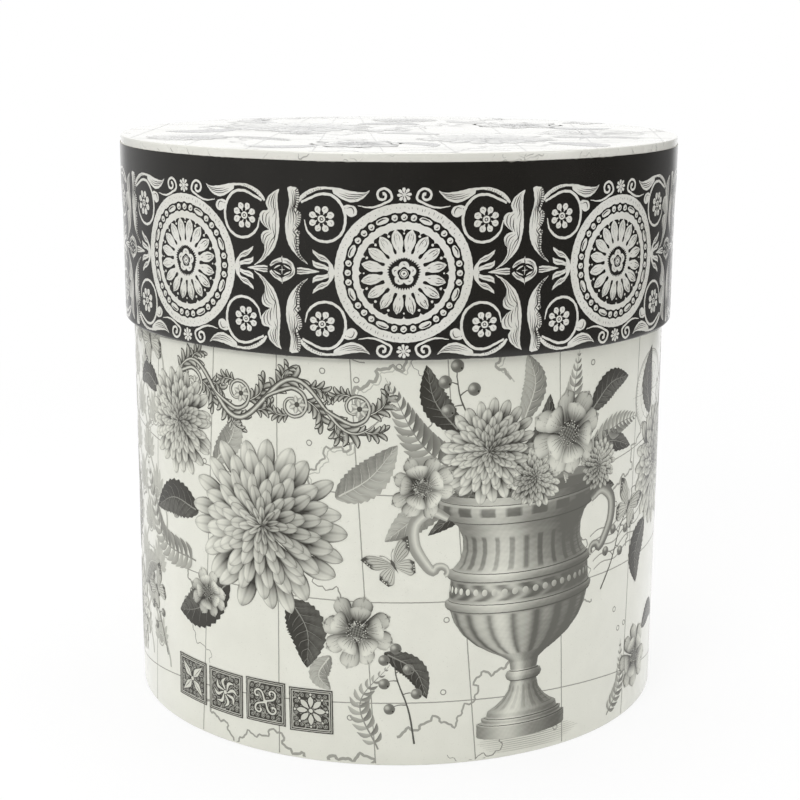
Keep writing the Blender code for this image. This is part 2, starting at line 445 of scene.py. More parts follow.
for node in ("body_wall", "base_board", "lid_board", "lid_rim"):
    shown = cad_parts[node].data.materials
    shown.clear()
    shown.append(finishes["greyboard"])
print("materials", len(finishes))


# Papers folded over their boards

# At a corner's angle over slightTurn, the bend is slightBend times as wide. A bend takes at most
# the share most of the run before it and after it.
foldLook = {"arcPoints": 7, "endStep": 0.1, "slightTurn": 2.8, "slightBend": 8, "most": 0.45}


def runTo(start, stop, spacing):
    # The points of a straight run after its first, about a spacing apart.
    count = max(1, int(np.hypot(*(stop - start)) / spacing))
    return [start + (stop - start) * (k + 1) / count for k in range(count)]


def foldedPath(corners, bend, spacing):
    # A path through corners, each rounded by a curve (1-t)^2 a + 2t(1-t) c + t^2 b whose ends lie
    # bend / tan(half the corner's angle) from it, with a wider bend where the path hardly turns.
    p = np.asarray(corners, float)
    path = [p[0]]
    t = np.linspace(0, 1, foldLook["arcPoints"])[:, None]
    for before, corner, after in zip(p[:-2], p[1:-1], p[2:]):
        toBefore, toAfter = np.hypot(*(before - corner)), np.hypot(*(after - corner))
        a, b = (before - corner) / toBefore, (after - corner) / toAfter
        opening = math.acos(np.clip(a @ b, -1, 1))
        radius = bend * (1 if opening < foldLook["slightTurn"] else foldLook["slightBend"])
        trim = min(radius / math.tan(opening / 2), foldLook["most"] * toBefore,
                   foldLook["most"] * toAfter)
        start, stop = corner + a * trim, corner + b * trim
        arc = (1 - t) ** 2 * start + 2 * t * (1 - t) * corner + t**2 * stop
        path += runTo(path[-1], arc[0], spacing) + list(arc[1:])
    path = np.array(path + runTo(path[-1], p[-1], spacing))
    first, last = path[1] - path[0], path[-2] - path[-1]
    step = foldLook["endStep"]  # a short step at each end keeps the cut edges crisp
    near = path[0] + step * first / np.hypot(*first), path[-1] + step * last / np.hypot(*last)
    return np.vstack([path[:1], near[:1], path[1:-1], near[1:], path[-1:]])


waverSize = 0.035  # mm
waverTo, waverSoft = 1.4, 0.6  # mm in from the outside at which it has gone, and its fade


def waver(turn, height):
    # Hand-made unevenness: slow waves round and up, a few hundredths of a mm.
    return waverSize * (np.sin(3 * turn + height / 41 + 1.0) + np.sin(5 * turn - height / 29 + 2.2)
                        + 0.6 * np.sin(11 * turn + height / 17))


def lapLift(turn, look, radius):
    # Height of a lap over the sheet's start: up across the butt gap, down at its free edge.
    butt = look["butt"] / radius
    past = np.mod(turn - look["seam"] + butt, fullTurn) - butt
    return look["lapStep"] * np.clip((past + butt) / butt, 0, 1) * (past <= look["lap"] / radius)


def addThickness(piece, thickness):
    # Gives a sheet its thickness towards the board, with bare paper at the cut edges.
    solid = piece.modifiers.new("paper", "SOLIDIFY")
    solid.thickness = thickness * mm
    solid.offset = -1
    solid.use_even_offset = True
    solid.material_offset = 1
    solid.material_offset_rim = 1


def paperSheet(name, look):
    # A sheet turned about the axis: angle by distance along its folded path. Radius is the path's,
    # plus waver where the sheet faces out and lap lift past the full turn.
    path = foldedPath(look["corners"], look["bend"], look["spacing"])
    seam, columns = look["seam"], look["columns"]
    radius = path[:, 0].max()
    butt, lap = look["butt"] / radius, look.get("lap", 0.0) / radius
    turn = seam + np.append(np.arange(columns) * fullTurn / columns, fullTurn - butt)
    if lap:
        turn = np.append(turn, seam + fullTurn + np.linspace(0, lap, look["lapColumns"]))
    lift = look.get("lapStep", 0.0) * (turn >= seam + fullTurn)
    r, z = np.broadcast_to(path[:, 0], (len(turn), len(path))), path[:, 1]
    r = r + lift[:, None]
    if look.get("wavers"):
        r = r + waver(turn[:, None], z) * facesOut(path)
    grid = aboutAxis(r, turn[:, None] + front, z)
    quads = gridQuads(np.arange(r.size).reshape(r.shape))
    keep = np.ones(quads.shape[:2], bool)
    middle = (path[:-1] + path[1:]) / 2
    if lap:
        keep[columns:, :] = look["lapRows"](middle)
    if "tabRows" in look:
        past = np.mod(turn[:-1] - seam, fullTurn / look["tabs"])
        notched = past < look["notch"] / radius
        keep &= ~(notched[:, None] & look["tabRows"](middle))
    reach = np.append(0, np.cumsum(np.hypot(*np.diff(path, axis=0).T)))
    maps = np.stack(np.broadcast_arrays(((turn - turn[0]) / (turn[-1] - turn[0]))[:, None],
                                        reach / reach[-1]), -1).reshape(-1, 2)
    piece = meshPiece(name, grid.reshape(-1, 3) * mm, quads[keep], look["body"],
                      [finishes[look["finish"]], finishes["core"]], maps)
    addThickness(piece, look["paper"])
    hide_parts(look["node"])
    print("paper", name, len(quads[keep]), "quads")


def facesOut(path):
    # 1 on the outside of the box, falling to 0 where a sheet turns in.
    return ease((path[:, 0] - path[:, 0].max() + waverTo) / waverSoft)


def hubCap(middle, hub):
    # Quads from a middle point to each pair of steps round the innermost ring of points.
    pairs = np.arange(0, hub.size, 2)
    return np.stack([np.full(pairs.size, middle), hub[pairs], hub[pairs + 1],
                     hub[(pairs + 2) % hub.size]], 1)


def roundSheet(name, look):
    # A flat round paper: rings of radius by angle, with its last ring turned down as its edge.
    columns, rows, facing = look["columns"], look["rows"], look["facing"]
    radii = look["radius"] * np.append(np.linspace(0.02, 1, rows) ** 0.8, 1)
    heights = look["up"] + np.append(np.zeros(rows), -facing * look["paper"])
    turn = np.linspace(0, fullTurn, columns + 1)[:-1]
    points = aboutAxis(radii, turn[:, None], heights).reshape(-1, 3)
    index = np.arange(len(points)).reshape(columns, -1)
    quads = gridQuads(np.vstack([index, index[:1]])).reshape(-1, 4)
    quads = np.vstack([quads, hubCap(len(points), index[:, 0])])
    points = np.vstack([points, [[0, 0, look["up"]]]])
    if facing < 0:
        quads = quads[:, ::-1]
    maps = points[:, :2] / look["radius"] / 2 + 0.5
    piece = meshPiece(name, points * mm, quads, look["body"],
                      [finishes[look["finish"]]], maps)
    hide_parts(look["node"])


glue, sheetThick = 0.3, 0.2
paperThick = 0.18  # of a sheet's own mesh, a little under the solid's
wallInner = nodeSpan("base_board")[2] + glue
bandRadius = rimRadius + sheetThick  # real sheets lie tight on their board
bandTopRadius = bandRadius + 0.35
edgeRadius = bandRadius + 0.12  # of the pale strip over the band
bandInner = rimLiningRadius - sheetThick
turnInRadius = wallInner - glue - sheetThick
bottomFold = 0.25  # the height of the tabs under the base
tabEase = 12.0  # height in which the band comes in from the tabs to the board
wrapTurnIn, wrapTab, bandTurnIn = 15, 12, 12.5

outerSheet = dict(slot="printed_paper", bend=0.6, columns=432, butt=0.8, lap=12.0, lapStep=0.3,
                  lapColumns=12, paper=paperThick, wavers=True)
bodyWrapLook = dict(
    outerSheet, node="body_wrap", body="box", finish="ivory", spacing=5.0, seam=math.pi,
    corners=[(turnInRadius, wallTop - wrapTurnIn), (turnInRadius, bodyTop), (bodyRadius, bodyTop),
             (bodyRadius, bottomFold), (wallRadius - wrapTab, bottomFold)],
    tabs=36, notch=2.2, tabRows=lambda p: (p[:, 1] < 1) & (p[:, 0] < bodyRadius - 1.2),
    lapRows=lambda p: (p[:, 0] > bodyRadius - 0.1) & (p[:, 1] > 1) & (p[:, 1] < bodyTop - 0.8))
bandLook = dict(
    outerSheet, node="lid_band", body="lid", slot="band_paper", finish="black", spacing=2.5,
    seam=math.radians(155),
    corners=[(bandTopRadius, bandTop), (bandTopRadius, tabEnd), (bandRadius, tabEnd - tabEase),
             (bandRadius, bandBottom), (bandInner, bandBottom),
             (bandInner, bandBottom + bandTurnIn)],
    lapRows=lambda p: (p[:, 0] > bandRadius - 0.1) & (p[:, 1] > bandBottom + 0.8))
paperSheet("bodyWrapPaper", bodyWrapLook)
paperSheet("lidBandPaper", bandLook)


# What the ink lies on

def onBand(x, y, height):
    # Sheet to band: x is the arc from the front, y the height above the band's lower edge.
    turn, up = x / bandRadius, y + bandBottom
    flare = np.clip((up - tabEnd + tabEase) / tabEase, 0, 1)
    r = bandRadius + (bandTopRadius - bandRadius) * flare + waver(turn, up) + height
    r = r + lapLift(turn, bandLook, bandRadius)
    return aboutAxis(r, turn + front, up)


def onBody(x, y, height):
    # Sheet to body: x is the arc from the front, y the height above the floor.
    turn = x / bodyRadius
    r = bodyRadius + waver(turn, y) + lapLift(turn, bodyWrapLook, bodyRadius) + height
    return aboutAxis(r, turn + front, y)


topDrop = 0.14  # the visible top lies this much under the solid's, so that its print stays within


def onTop(x, y, height):
    # Sheet to lid top: x and y as they lie, seen from above.
    return np.stack([x, y, lidTop + height], 1)


def onStrip(x, y, height):
    # Sheet to the pale strip over the band: x is the arc, y the height above the band.
    return aboutAxis(edgeRadius + height, x / edgeRadius + front, bandTop + y)


# The band's ornament: medallions between scrolls, cream on black, one repeat at a time. Each
# function gives the cream patches and the slits cut into them as lists of (patch, tone, level).

friezeLook = {"repeats": 8, "centreUp": 27.4, "turned": math.radians(1.0), "rough": 0.04,
              "starUp": (24.4, -24.5), "creamLift": 0.015, "slitLift": 0.04, "drawnHalf": 39.27}
repeatLength = fullTurn * bandRadius / friezeLook["repeats"]
medallionLook = {
    "rim": 21.75, "ticks": 96, "tickRing": 20.45, "track": 17.5, "trackHalf": 1.32, "groups": 8,
    "beadSteps": (-0.17, 0, 0.17), "bead": 0.98, "beadWell": (1.5, 1.62), "longBead": 0.95,
    "longStretch": 2.25, "longWell": (2.75, 1.55), "scallop": 14.05, "petals": 16,
    "petalFrom": 6.0, "petalTo": 13.5, "knobs": 12.5, "fringe": 38, "lobes": 5, "hub": 0.95,
    "petalShape": [1.15, 0.84, 1.0, 1.36, 1.56, 1.62, 1.56, 1.3, 0.8, 0.05],
}


def trackWidth(turn):
    # Half-width of the dark track: its own, and round each bead at least the half-width of the
    # bead's well times sqrt(1 - (arc from the bead / the well's half-length)^2).
    m = medallionLook
    width = np.full(turn.shape, m["trackHalf"])
    eighth = fullTurn / m["groups"]
    wells = [(step, *m["beadWell"]) for step in m["beadSteps"]] + [(eighth / 2, *m["longWell"])]
    for group in range(m["groups"]):
        for step, halfLength, halfWidth in wells:
            away = np.mod(turn - group * eighth - step + math.pi, fullTurn) - math.pi
            share = np.clip(1 - (away * m["track"] / halfLength)**2, 0, 1)
            width = np.maximum(width, halfWidth * np.sqrt(share))
    return width


def medallionRings():
    # The rim outside the track, and inside it a ring with a scalloped inner edge: its radius falls
    # by cusp^5, where cusp = 1 - |sin(petals / 2 times the angle)|, between small lobes.
    m = medallionLook
    turn = np.linspace(0, fullTurn, 513)
    half = trackWidth(turn)
    cusp = 1 - np.abs(np.sin(turn * m["petals"] / 2))
    lobes = np.abs(np.cos(turn * m["petals"] * 2.5))
    inner = m["scallop"] - 1.1 * cusp**5 + 0.22 * lobes * cusp**2
    return [(ring(m["track"] + half, m["rim"], 512, 3), 1, 0),
            (ring(inner - 0.25 * np.sin(turn), m["track"] - half, 512, 3), 1, 0)]


def medallionPetals():
    # Petals along the radius, their half-width a smooth curve, each cut by two bent lines and
    # three nicks that are bolder on one side of the medallion, and a knob between each two.
    m, cream, slits = medallionLook, [], []
    s, t = shares(24, 4)
    half = smoothCurve(m["petalShape"], 24)
    for k in range(m["petals"]):
        a = (k + 0.5) * fullTurn / m["petals"] + 0.02 * math.sin(7 * k)
        far = m["petalTo"] + 0.2 * math.sin(5 * k) + 0.3 * math.sin(a)
        reach = m["petalFrom"] + (far - m["petalFrom"]) * s
        petal = reach + 0 * t, half * t * (1.02 + 0.05 * math.sin(a))
        cream.append((placed(petal, turn=a), 1, 1))
        bold = 0.75 + 0.35 * math.cos(a) - 0.2 * math.sin(a)
        for side, begin in ((0.62, 9.4 + 0.8 * math.sin(3 * k)), (-0.7, 10.1)):
            line = stroke([(begin, side), (11.2, side * 1.2), (12.9, side * 0.5)],
                          [0.02, 0.14 * bold, 0.02])
            slits.append((placed(line, turn=a), 0, 0))
        for x, y in ((7.6, 0.1), (10.6, 0.2 * math.sin(4 * k)), (11.8, -0.1)):
            nick = stroke([(x, y), (x + 0.9, y + 0.1)], [0.02, 0.1 * bold, 0.02], 0.3)
            slits.append((placed(nick, turn=a), 0, 0))
        knob = dot(0.42 if k % 4 else 0.3, 3)
        cream.append((placed(knob, polar(m["knobs"], k * fullTurn / m["petals"])), 1, 1))
    return cream, slits


def medallionEye():
    # A fringe, which is a ring with a spiked inner edge, round a flower of lobes |cos(2.5 angle)|.
    m, cream, slits = medallionLook, [], []
    turn = np.arange(4 * m["fringe"] + 1) * fullTurn / m["fringe"] / 4
    spike = np.array([0, 0.45, 1, 0.45])[np.arange(turn.size) % 4]
    inner = 4.6 + (0.6 + 0.25 * np.sin(3 * turn)) * spike
    cream.append((ring(inner + 0.12 * np.sin(5 * turn), 6.5, turn.size - 1, 3), 1, 2))
    turn = np.linspace(0, fullTurn, 121)
    lobes = np.abs(np.cos(2.5 * (turn - math.pi / 2)))
    cream.append((ring(1.75 + 0.35 * lobes, 2.65 + 1.2 * lobes**0.7, 120, 3), 1, 1))
    cream.append((dot(m["hub"], 6), 1, 1))
    cream.append((ring(1.2, 1.38, 30), 1, 1))
    fold = stroke([(2.5, -0.3), (3.0, 0), (3.0, 0.5)], [0.02, 0.13, 0.02], 0.2)
    slits += [(dot(0.3, 4), 0, 0)] + around(m["lobes"], fold, 0, 0, math.pi / 2)
    return cream, slits


def medallionBeads():
    # Along the track, groups of three round beads with a long one between, each with its shade.
    m, cream, slits = medallionLook, [], []
    for group in range(m["groups"]):
        a = group * fullTurn / m["groups"]
        for step in m["beadSteps"]:
            at = polar(m["track"], a + step)
            cream.append((placed(dot(m["bead"], 6), at), 1, 1))
            slits.append((placed(ring(0.22, 0.5, 10, 2, -2.6, 3.2), at), 0, 0))
        a += fullTurn / m["groups"] / 2
        at = polar(m["track"], a)
        bead = dot(m["longBead"], 10, m["longStretch"])
        cream.append((placed(bead, at, a + math.pi / 2), 1, 1))
        shade = stroke([(-1.4, -0.15), (-0.2, -0.5), (1.2, -0.3), (1.6, 0.1)],
                       [0.02, 0.2, 0.2, 0.02], 0.3)
        slits.append((placed(shade, at, a + math.pi / 2), 0, 0))
    return cream, slits


def rimTicks():
    # Short bars round the rim that fade to dots: half-length 0.16 + 0.34 sin(2 angle - 0.5)^2.
    slits, scatter = [], np.random.default_rng(11)
    count = medallionLook["ticks"]
    for k in range(count):
        a = (k + scatter.uniform(-0.25, 0.25)) * fullTurn / count
        bar = 0.16 + 0.34 * max(0, math.sin(2 * a - 0.5))**2
        r = medallionLook["tickRing"] + 0.4 * math.sin(3 * k) + scatter.uniform(-0.15, 0.15)
        tick = stroke([(r - bar, 0), (r + bar, 0.05)], [0.03, 0.085, 0.03], 0.2)
        slits.append((placed(tick, turn=a), 0, 0))
    return slits


def medallion():
    # All of a medallion's pieces about its centre.
    parts = ((medallionRings(), []), medallionPetals(), medallionEye(), medallionBeads(),
             ([], rimTicks()))
    return [sum(kind, []) for kind in zip(*parts)]


def floret():
    # Eight full petals on short necks round an eyed ring.
    cream = [(ring(0.62, 1.18, 26, 3), 1, 1), (dot(0.34, 3), 1, 1)]
    slits = []
    for k in range(8):
        a = (k + 0.5) * fullTurn / 8
        neck = stroke([(1.5, 0.1), (2.5, 0)], [0.1, 0.42], 0.4)
        cream.append((placed(neck, turn=a), 1, 1))
        petal = dot(1.03 + 0.06 * math.sin(5 * k), 6, 1.06)
        cream.append((placed(petal, polar(3.15, a), a), 1, 2))
        fold = stroke([(2.8, -0.35), (3.3, -0.2), (3.6, 0.25)], [0.02, 0.075, 0.02], 0.3)
        slits.append((placed(fold, turn=a), 0, 0))
    return cream, slits


def star():
    # Eight short arms with round ends.
    arm = stroke([(0.2, 0), (1.2, 0), (2.2, 0)], [0.14, 0.2, 0.5, 0.3], 0.3, 3)
    return [(dot(0.5, 4), 1, 1)] + around(8, arm, 1, 1, 0.1)


def spiral(centre, start, sweep, outer, inner, points=11):
    # Points of a scroll's eye: angle runs on while the radius falls from outer to inner.
    t = np.linspace(0, 1, points)
    a = start + sweep * t
    r = outer + (inner - outer) * t**0.8
    return list(zip(centre[0] + r * np.cos(a), centre[1] + r * np.sin(a)))


quarterLook = {  # outwards and up from the medallion's centre
    "scroll": [(14.3, 20.9), (11.3, 20.4), (8.6, 20.7), (5.6, 22.0)],
    "eye": {"centre": (6.6, 24.1), "start": math.radians(200), "sweep": -math.radians(480),
            "outer": 2.85, "inner": 0.5},
    "scrollHalf": [0.1, 0.3, 0.36, 0.38, 0.38, 0.36, 0.36, 0.34, 0.38, 0.55],
    "leaf": ([(10.6, 25.6), (12.4, 25.0), (14.6, 25.1), (17.4, 25.5), (20.4, 26.2), (22.6, 26.4)],
             [(10.7, 25.4), (12.2, 23.6), (14.2, 22.3), (16.6, 21.9), (19.0, 22.7), (22.0, 24.5)]),
    "leafCuts": ((0.3, 0.1, 0.75), (0.5, 0.05, 0.9), (0.7, 0.25, 0.85)),
    "stem": [(20.6, 25.7), (23.6, 26.1), (26.8, 25.9), (29.8, 24.8), (32.0, 23.3), (33.6, 21.5)],
    "stemHalf": [0.5, 0.34, 0.5, 0.62, 0.62, 0.3],
    "roundelAt": (24.9, 16.9), "flowerAt": (25.9, 16.5),
    "roundel": [(6.6, -0.8), (5.6, -4.3), (2.6, -6.9), (-1.6, -7.3), (-5.2, -5.0), (-6.6, -0.8),
                (-5.7, 3.6), (-2.7, 6.8), (1.2, 7.3), (4.6, 6.0), (7.6, 4.6)],
    "roundelHalf": [0.15, 0.38, 0.42, 0.42, 0.44, 0.44, 0.4, 0.36],
    "knobAt": (16.5, 19.2), "knobStalk": [(19.0, 20.4), (17.4, 20.6), (16.0, 20.2)],
    "knobCut": [(17.9, 20.0), (16.4, 20.3), (15.6, 19.2), (15.8, 18.2)],
    "outerLobe": ([(21.6, -0.1), (22.4, 2.1), (23.5, 3.6), (25.0, 4.9), (27.0, 5.75), (29.0, 6.9)],
                  [(24.0, -0.1), (23.6, 1.1), (23.9, 2.6), (24.9, 3.15), (26.7, 3.75),
                   (28.75, 5.8)]),
    "innerLobe": ([(23.6, 1.5), (24.4, 1.95), (25.8, 2.5), (27.7, 3.0), (29.0, 3.6)],
                  [(23.9, 0.35), (24.6, 0.75), (25.9, 0.95), (27.7, 1.2), (28.8, 1.95)]),
    "lobeCuts": (("outerLobe", 0.42, 0.45, 0.92, 0.11), ("outerLobe", 0.68, 0.6, 0.85, 0.08),
                 ("innerLobe", 0.5, 0.35, 0.9, 0.1)),
}


def quarterScrolls():
    # One quarter of the field beside a medallion: a scroll and its leaf, a stem, a roundel round a
    # flower, a knob on its side and half a tulip. Leaf and lobes lie between two edge curves.
    q, cream, slits = quarterLook, [], []
    cream.append((stroke(q["scroll"] + spiral(**q["eye"]), q["scrollHalf"]), 1, 3))
    cream.append((between(*q["leaf"], 40, 6), 1, 4))
    for share, start, stop in q["leafCuts"]:
        slits.append((along(*q["leaf"], share, start, stop, 0.12), 0, 0))
    cream.append((stroke(q["stem"], q["stemHalf"]), 1, 4))
    for k in range(9):  # short cuts across the stem, which falls as a parabola here
        x, y = 26.2 + 0.75 * k, 26.0 - 0.045 * (k + 0.8)**2
        cut = stroke([(x, y + 0.25), (x - 0.25, y - 0.4)], [0.02, 0.09, 0.02], 0.3)
        slits.append((cut, 0, 0))
    roundel = [(q["roundelAt"][0] + x, q["roundelAt"][1] + y) for x, y in q["roundel"]]
    cream.append((stroke(roundel, q["roundelHalf"]), 1, 2))
    for motif, flower in zip((cream, slits), floret()):
        motif.extend((placed(patch, q["flowerAt"]), tone, level) for patch, tone, level in flower)
    cream.append((placed(dot(1.75, 6, 1.12), q["knobAt"], 0.5), 1, 3))
    cream.append((stroke(q["knobStalk"], [0.3, 0.5, 0.6]), 1, 3))
    slits.append((stroke(q["knobCut"], [0.03, 0.15, 0.14, 0.02], 0.3), 0, 0))
    for lobe, rows in (("outerLobe", 30), ("innerLobe", 20)):
        cream.append((between(*q[lobe], rows, 5), 1, 2))
    for lobe, *line in q["lobeCuts"]:
        slits.append((along(*q[lobe], *line), 0, 0))
    return cream, slits


leafEdges = {  # offsets from the repeat's edge, inwards and up
    "lobed": {
        "smooth": [(9.9, 0.85), (7.2, 2.25), (5.2, 3.95), (3.2, 5.9), (2.0, 8.1), (1.2, 10.8),
                   (0.75, 13.8), (0.85, 17.2), (1.15, 20.6), (1.1, 23.2), (0.5, 25.2)],
        "rough": [(10.0, 1.0), (8.3, 2.35), (6.9, 4.0), (6.1, 5.9), (6.3, 7.4), (7.1, 8.9),
                  (7.3, 10.4), (6.4, 11.8), (4.3, 12.5), (5.9, 13.4), (7.3, 15.0), (7.6, 16.8),
                  (6.7, 18.2), (4.6, 18.7), (5.3, 20.4), (4.8, 22.1), (3.8, 23.4), (2.2, 24.6),
                  (0.6, 25.3)],
        "lines": [(0.2, 0.12, 0.95, 0.11), (0.34, 0.26, 0.62, 0.12), (0.36, 0.66, 0.93, 0.14),
                  (0.5, 0.06, 0.44, 0.11), (0.52, 0.5, 0.66, 0.15), (0.56, 0.74, 0.96, 0.13),
                  (0.84, 0.24, 0.44, 0.13), (0.68, 0.26, 0.46, 0.12), (0.85, 0.5, 0.68, 0.15),
                  (0.68, 0.5, 0.7, 0.13), (0.78, 0.76, 0.92, 0.1)]},
    "combed": {
        "smooth": [(8.7, 2.2), (6.4, 3.6), (4.4, 5.4), (2.8, 7.4), (1.8, 9.6), (1.3, 12.6),
                   (1.4, 15.7), (2.2, 18.7), (2.8, 21.3), (2.6, 23.6), (2.2, 25.8)],
        "rough": [(8.8, 2.3), (7.0, 4.1), (6.0, 5.8), (5.7, 7.4), (5.9, 8.9), (5.8, 11.1),
                  (6.3, 12.1), (5.0, 13.2), (5.9, 14.3), (6.5, 16.0), (6.5, 18.1), (5.2, 19.2),
                  (5.7, 20.6), (6.0, 22.5), (6.1, 24.3), (5.4, 25.8), (3.3, 26.3)],
        "lines": [(0.3, 0.03, 0.34, 0.1), (0.52, 0.04, 0.45, 0.14), (0.36, 0.55, 0.96, 0.12),
                  (0.54, 0.5, 0.95, 0.17), (0.2, 0.5, 0.8, 0.08), (0.68, 0.2, 0.52, 0.2),
                  (0.7, 0.54, 0.94, 0.2)],
        "comb": {"pitch": 0.78, "margins": (2.4, 2.0), "outside": 0.25, "inside": 1.15}},
}


def wallLeaf(kind):
    # An upright leaf beside the repeat's edge, between a smooth edge curve and a rough one, with
    # lines that keep their share of the way between the two. One kind has a comb along its edge.
    look = leafEdges[kind]
    smooth, rough = ([(repeatLength / 2 - x, y) for x, y in look[side]]
                     for side in ("smooth", "rough"))
    cream = [(between(smooth, rough, 110, 6), 1, 2)]
    slits = [(along(smooth, rough, *line), 0, 0) for line in look["lines"]]
    if "comb" in look:  # short cuts square to the edge, from just outside it
        comb = look["comb"]
        path = smoothCurve(rough, 600)
        reach = np.append(0, np.cumsum(np.hypot(*np.diff(path, axis=0).T)))
        for d in np.arange(comb["margins"][0], reach[-1] - comb["margins"][1], comb["pitch"]):
            row = int(np.searchsorted(reach, d))
            step = path[row + 3] - path[row - 3]
            inward = np.array([step[1], -step[0]]) / np.hypot(*step)
            ends = path[row] - comb["outside"] * inward, path[row] + comb["inside"] * inward
            slits.append((stroke(ends, [0.2, 0.13], 0.3), 0, 0))
    return cream, slits


budLook = {  # about the bud's middle: facets as outer and inner edges, then lines
    "facets": (
        ([(-4.3, 1.3), (-3.6, 2.4), (-2.0, 3.4), (-0.16, 3.9)],
         [(-3.9, 0.8), (-3.0, 1.5), (-1.6, 2.2), (-0.16, 2.5)]),
        ([(0.16, 3.9), (2.0, 3.5), (3.7, 2.3), (4.4, 0.5)],
         [(0.16, 2.2), (1.6, 2.0), (2.7, 1.4), (3.4, 0.3)]),
        ([(-4.4, -0.6), (-3.5, -2.0), (-1.9, -3.0), (-0.16, -3.9)],
         [(-3.7, -0.2), (-2.7, -1.2), (-1.5, -1.9), (-0.16, -2.6)]),
        ([(4.4, 0.5), (4.3, -1.0), (2.9, -2.5), (0.16, -3.9)],
         [(3.4, 0.3), (3.2, -0.6), (2.1, -1.5), (0.16, -2.3)])),
    "facetCuts": ((0.5, 0.12, 0.8, 0.12), (0.78, 0.3, 0.95, 0.08)),
    "lashes": [(2.9, 0.25), (1.9, 0.9), (0.6, 1.5)],
    "cross": (([(-0.9, 0.0), (0.9, 0.1)], [0.04, 0.1, 0.04], 0.4),
              ([(0, 1.2), (0, -1.4)], [0.04, 0.12, 0.04], 0.4),
              ([(0, 4.5), (0, 3.4)], [0.04, 0.3], 0.3), ([(0, -3.2), (0, -4.4)], [0.3, 0.04], 0.3)),
    "splits": (([(0, 3.9), (0, 1.9)], [0.08, 0.1], 0.4),
               ([(0, -1.9), (0, -3.9)], [0.1, 0.08], 0.4)),
}


def edgeBud():
    # The bud on the repeat's edge: four curved facets round a dark eye with a small cross.
    cream, slits = [], []
    for facet in budLook["facets"]:
        cream.append((between(*facet, 20, 4), 1, 2))
        slits += [(along(*facet, *cut), 0, 0) for cut in budLook["facetCuts"]]
    for side in (-1, 1):
        for up in (-1, 1):
            lash = [(side * x, y * up) for x, y in budLook["lashes"]]
            cream.append((stroke(lash, [0.05, 0.24, 0.1], 0.4), 1, 2))
    cream += [(stroke(*line), 1, 3) for line in budLook["cross"]]
    slits += [(stroke(*line), 0, 0) for line in budLook["splits"]]
    return cream, slits


def splitStem():
    # The split wedge between a tulip and the bud.
    cream = [(between([(26.8, 0.1), (29.6, 0.75), (32.4, 1.1), (34.1, 1.0)],
                      [(26.8, -0.1), (29.6, -0.6), (32.4, -1.0), (34.1, -1.0)], 20, 4), 1, 3)]
    slits = [(stroke([(29.0, 0.15), (32.0, 0.3), (34.2, 0.35)], [0.03, 0.15, 0.2]), 0, 0),
             (stroke([(30.6, -0.3), (34.2, -0.45)], [0.02, 0.13, 0.14]), 0, 0)]
    return cream, slits


def roughen(ink, amount):
    # Engraved edges are never quite true: short waves push every point a little.
    for x, y in zip(ink["x"], ink["y"]):
        dx = np.sin(2.9 * y + 1.5 * np.sin(1.3 * x)) + 0.5 * np.sin(5.3 * y + 2.1 * x)
        dy = np.sin(2.7 * x + 1.5 * np.sin(1.4 * y)) + 0.5 * np.sin(5.1 * x - 1.9 * y)
        x += amount * dx
        y += amount * dy


def drawFrieze():
    # One repeat: a medallion, four mirrored quarters and the bud on its right edge. The quarters'
    # places were chosen for a half repeat of drawnHalf, so they are spread to the real one.
    inks = newInk(), newInk()
    half = repeatLength / 2
    spread = half / friezeLook["drawnHalf"]
    for ink, rings, bud, wedge, quarter, lobed, combed in zip(
            inks, medallion(), edgeBud(), splitStem(), quarterScrolls(), wallLeaf("lobed"),
            wallLeaf("combed")):
        stamp(ink, rings)
        stamp(ink, bud, (half, 0))
        for side, leafSide in ((-1, combed), (1, lobed)):
            stamp(ink, wedge, flip=(side * spread, 1))
            for up in (-1, 1):
                stamp(ink, quarter, flip=(side * spread, up))
                stamp(ink, leafSide, flip=(side, up))
    for up in friezeLook["starUp"]:
        stamp(inks[0], star(), (0, up))
    tiling = {"count": friezeLook["repeats"], "pitch": repeatLength,
              "start": friezeLook["turned"] * bandRadius, "up": friezeLook["centreUp"]}
    for name, ink, finish, lift in (("bandOrnament", inks[0], "cream", friezeLook["creamLift"]),
                                    ("bandEngraving", inks[1], "slit", friezeLook["slitLift"])):
        roughen(ink, friezeLook["rough"])
        inkPiece(name, ink, onBand, "lid", finishes[finish], tiling, lift)


drawFrieze()
print("frieze drawn")


# The box's print: garden pieces over an old chart, each drawn from a formula

sun = math.radians(130)  # the prints are shaded as if lit from the upper left


def fullPetal(s, t, share):
    # A folded petal: width s^0.5 (1 - s^3.4)^0.7, dark where the ring above lies over it, with a
    # dark fold down its middle, streaks, and a fine dark edge.
    wide = s**0.5 * (1 - s**3.4)**0.7
    tone = (0.88 - 0.28 * share) * (0.06 + 0.94 * ease((s - 0.26 + 0.12 * share) / 0.58))
    tone = tone - (0.40 - 0.26 * s) * np.exp(-(t / 0.3)**2) - 0.05 * np.cos(4 * math.pi * t)
    tone = tone - 0.44 * np.abs(t)**7 - 0.34 * ease((s - 0.88) / 0.12)
    return wide, 0 * s, tone


def openPetal(s, t, share):
    # A broad petal: notched and waved at the tip, pale there and dark and streaked at the foot.
    wide = s**0.62 * (1 - s**5)**0.5
    inset = s**5 * (0.13 * np.exp(-(t / 0.2)**2) + 0.05 * np.cos(11 * t) + 0.09 * t**2)
    tone = 0.28 + 0.60 * ease((s - 0.12) / 0.66) - 0.12 * (1 - share)
    tone = tone - 0.10 * (1 - s) * (1 + np.cos(5 * math.pi * t)) - 0.36 * np.abs(t)**7
    tone = tone - 0.22 * ease((s - 0.9) / 0.1) - 0.16 * np.exp(-((s - 0.72) / 0.1)**2) * t**2
    return wide, inset, tone


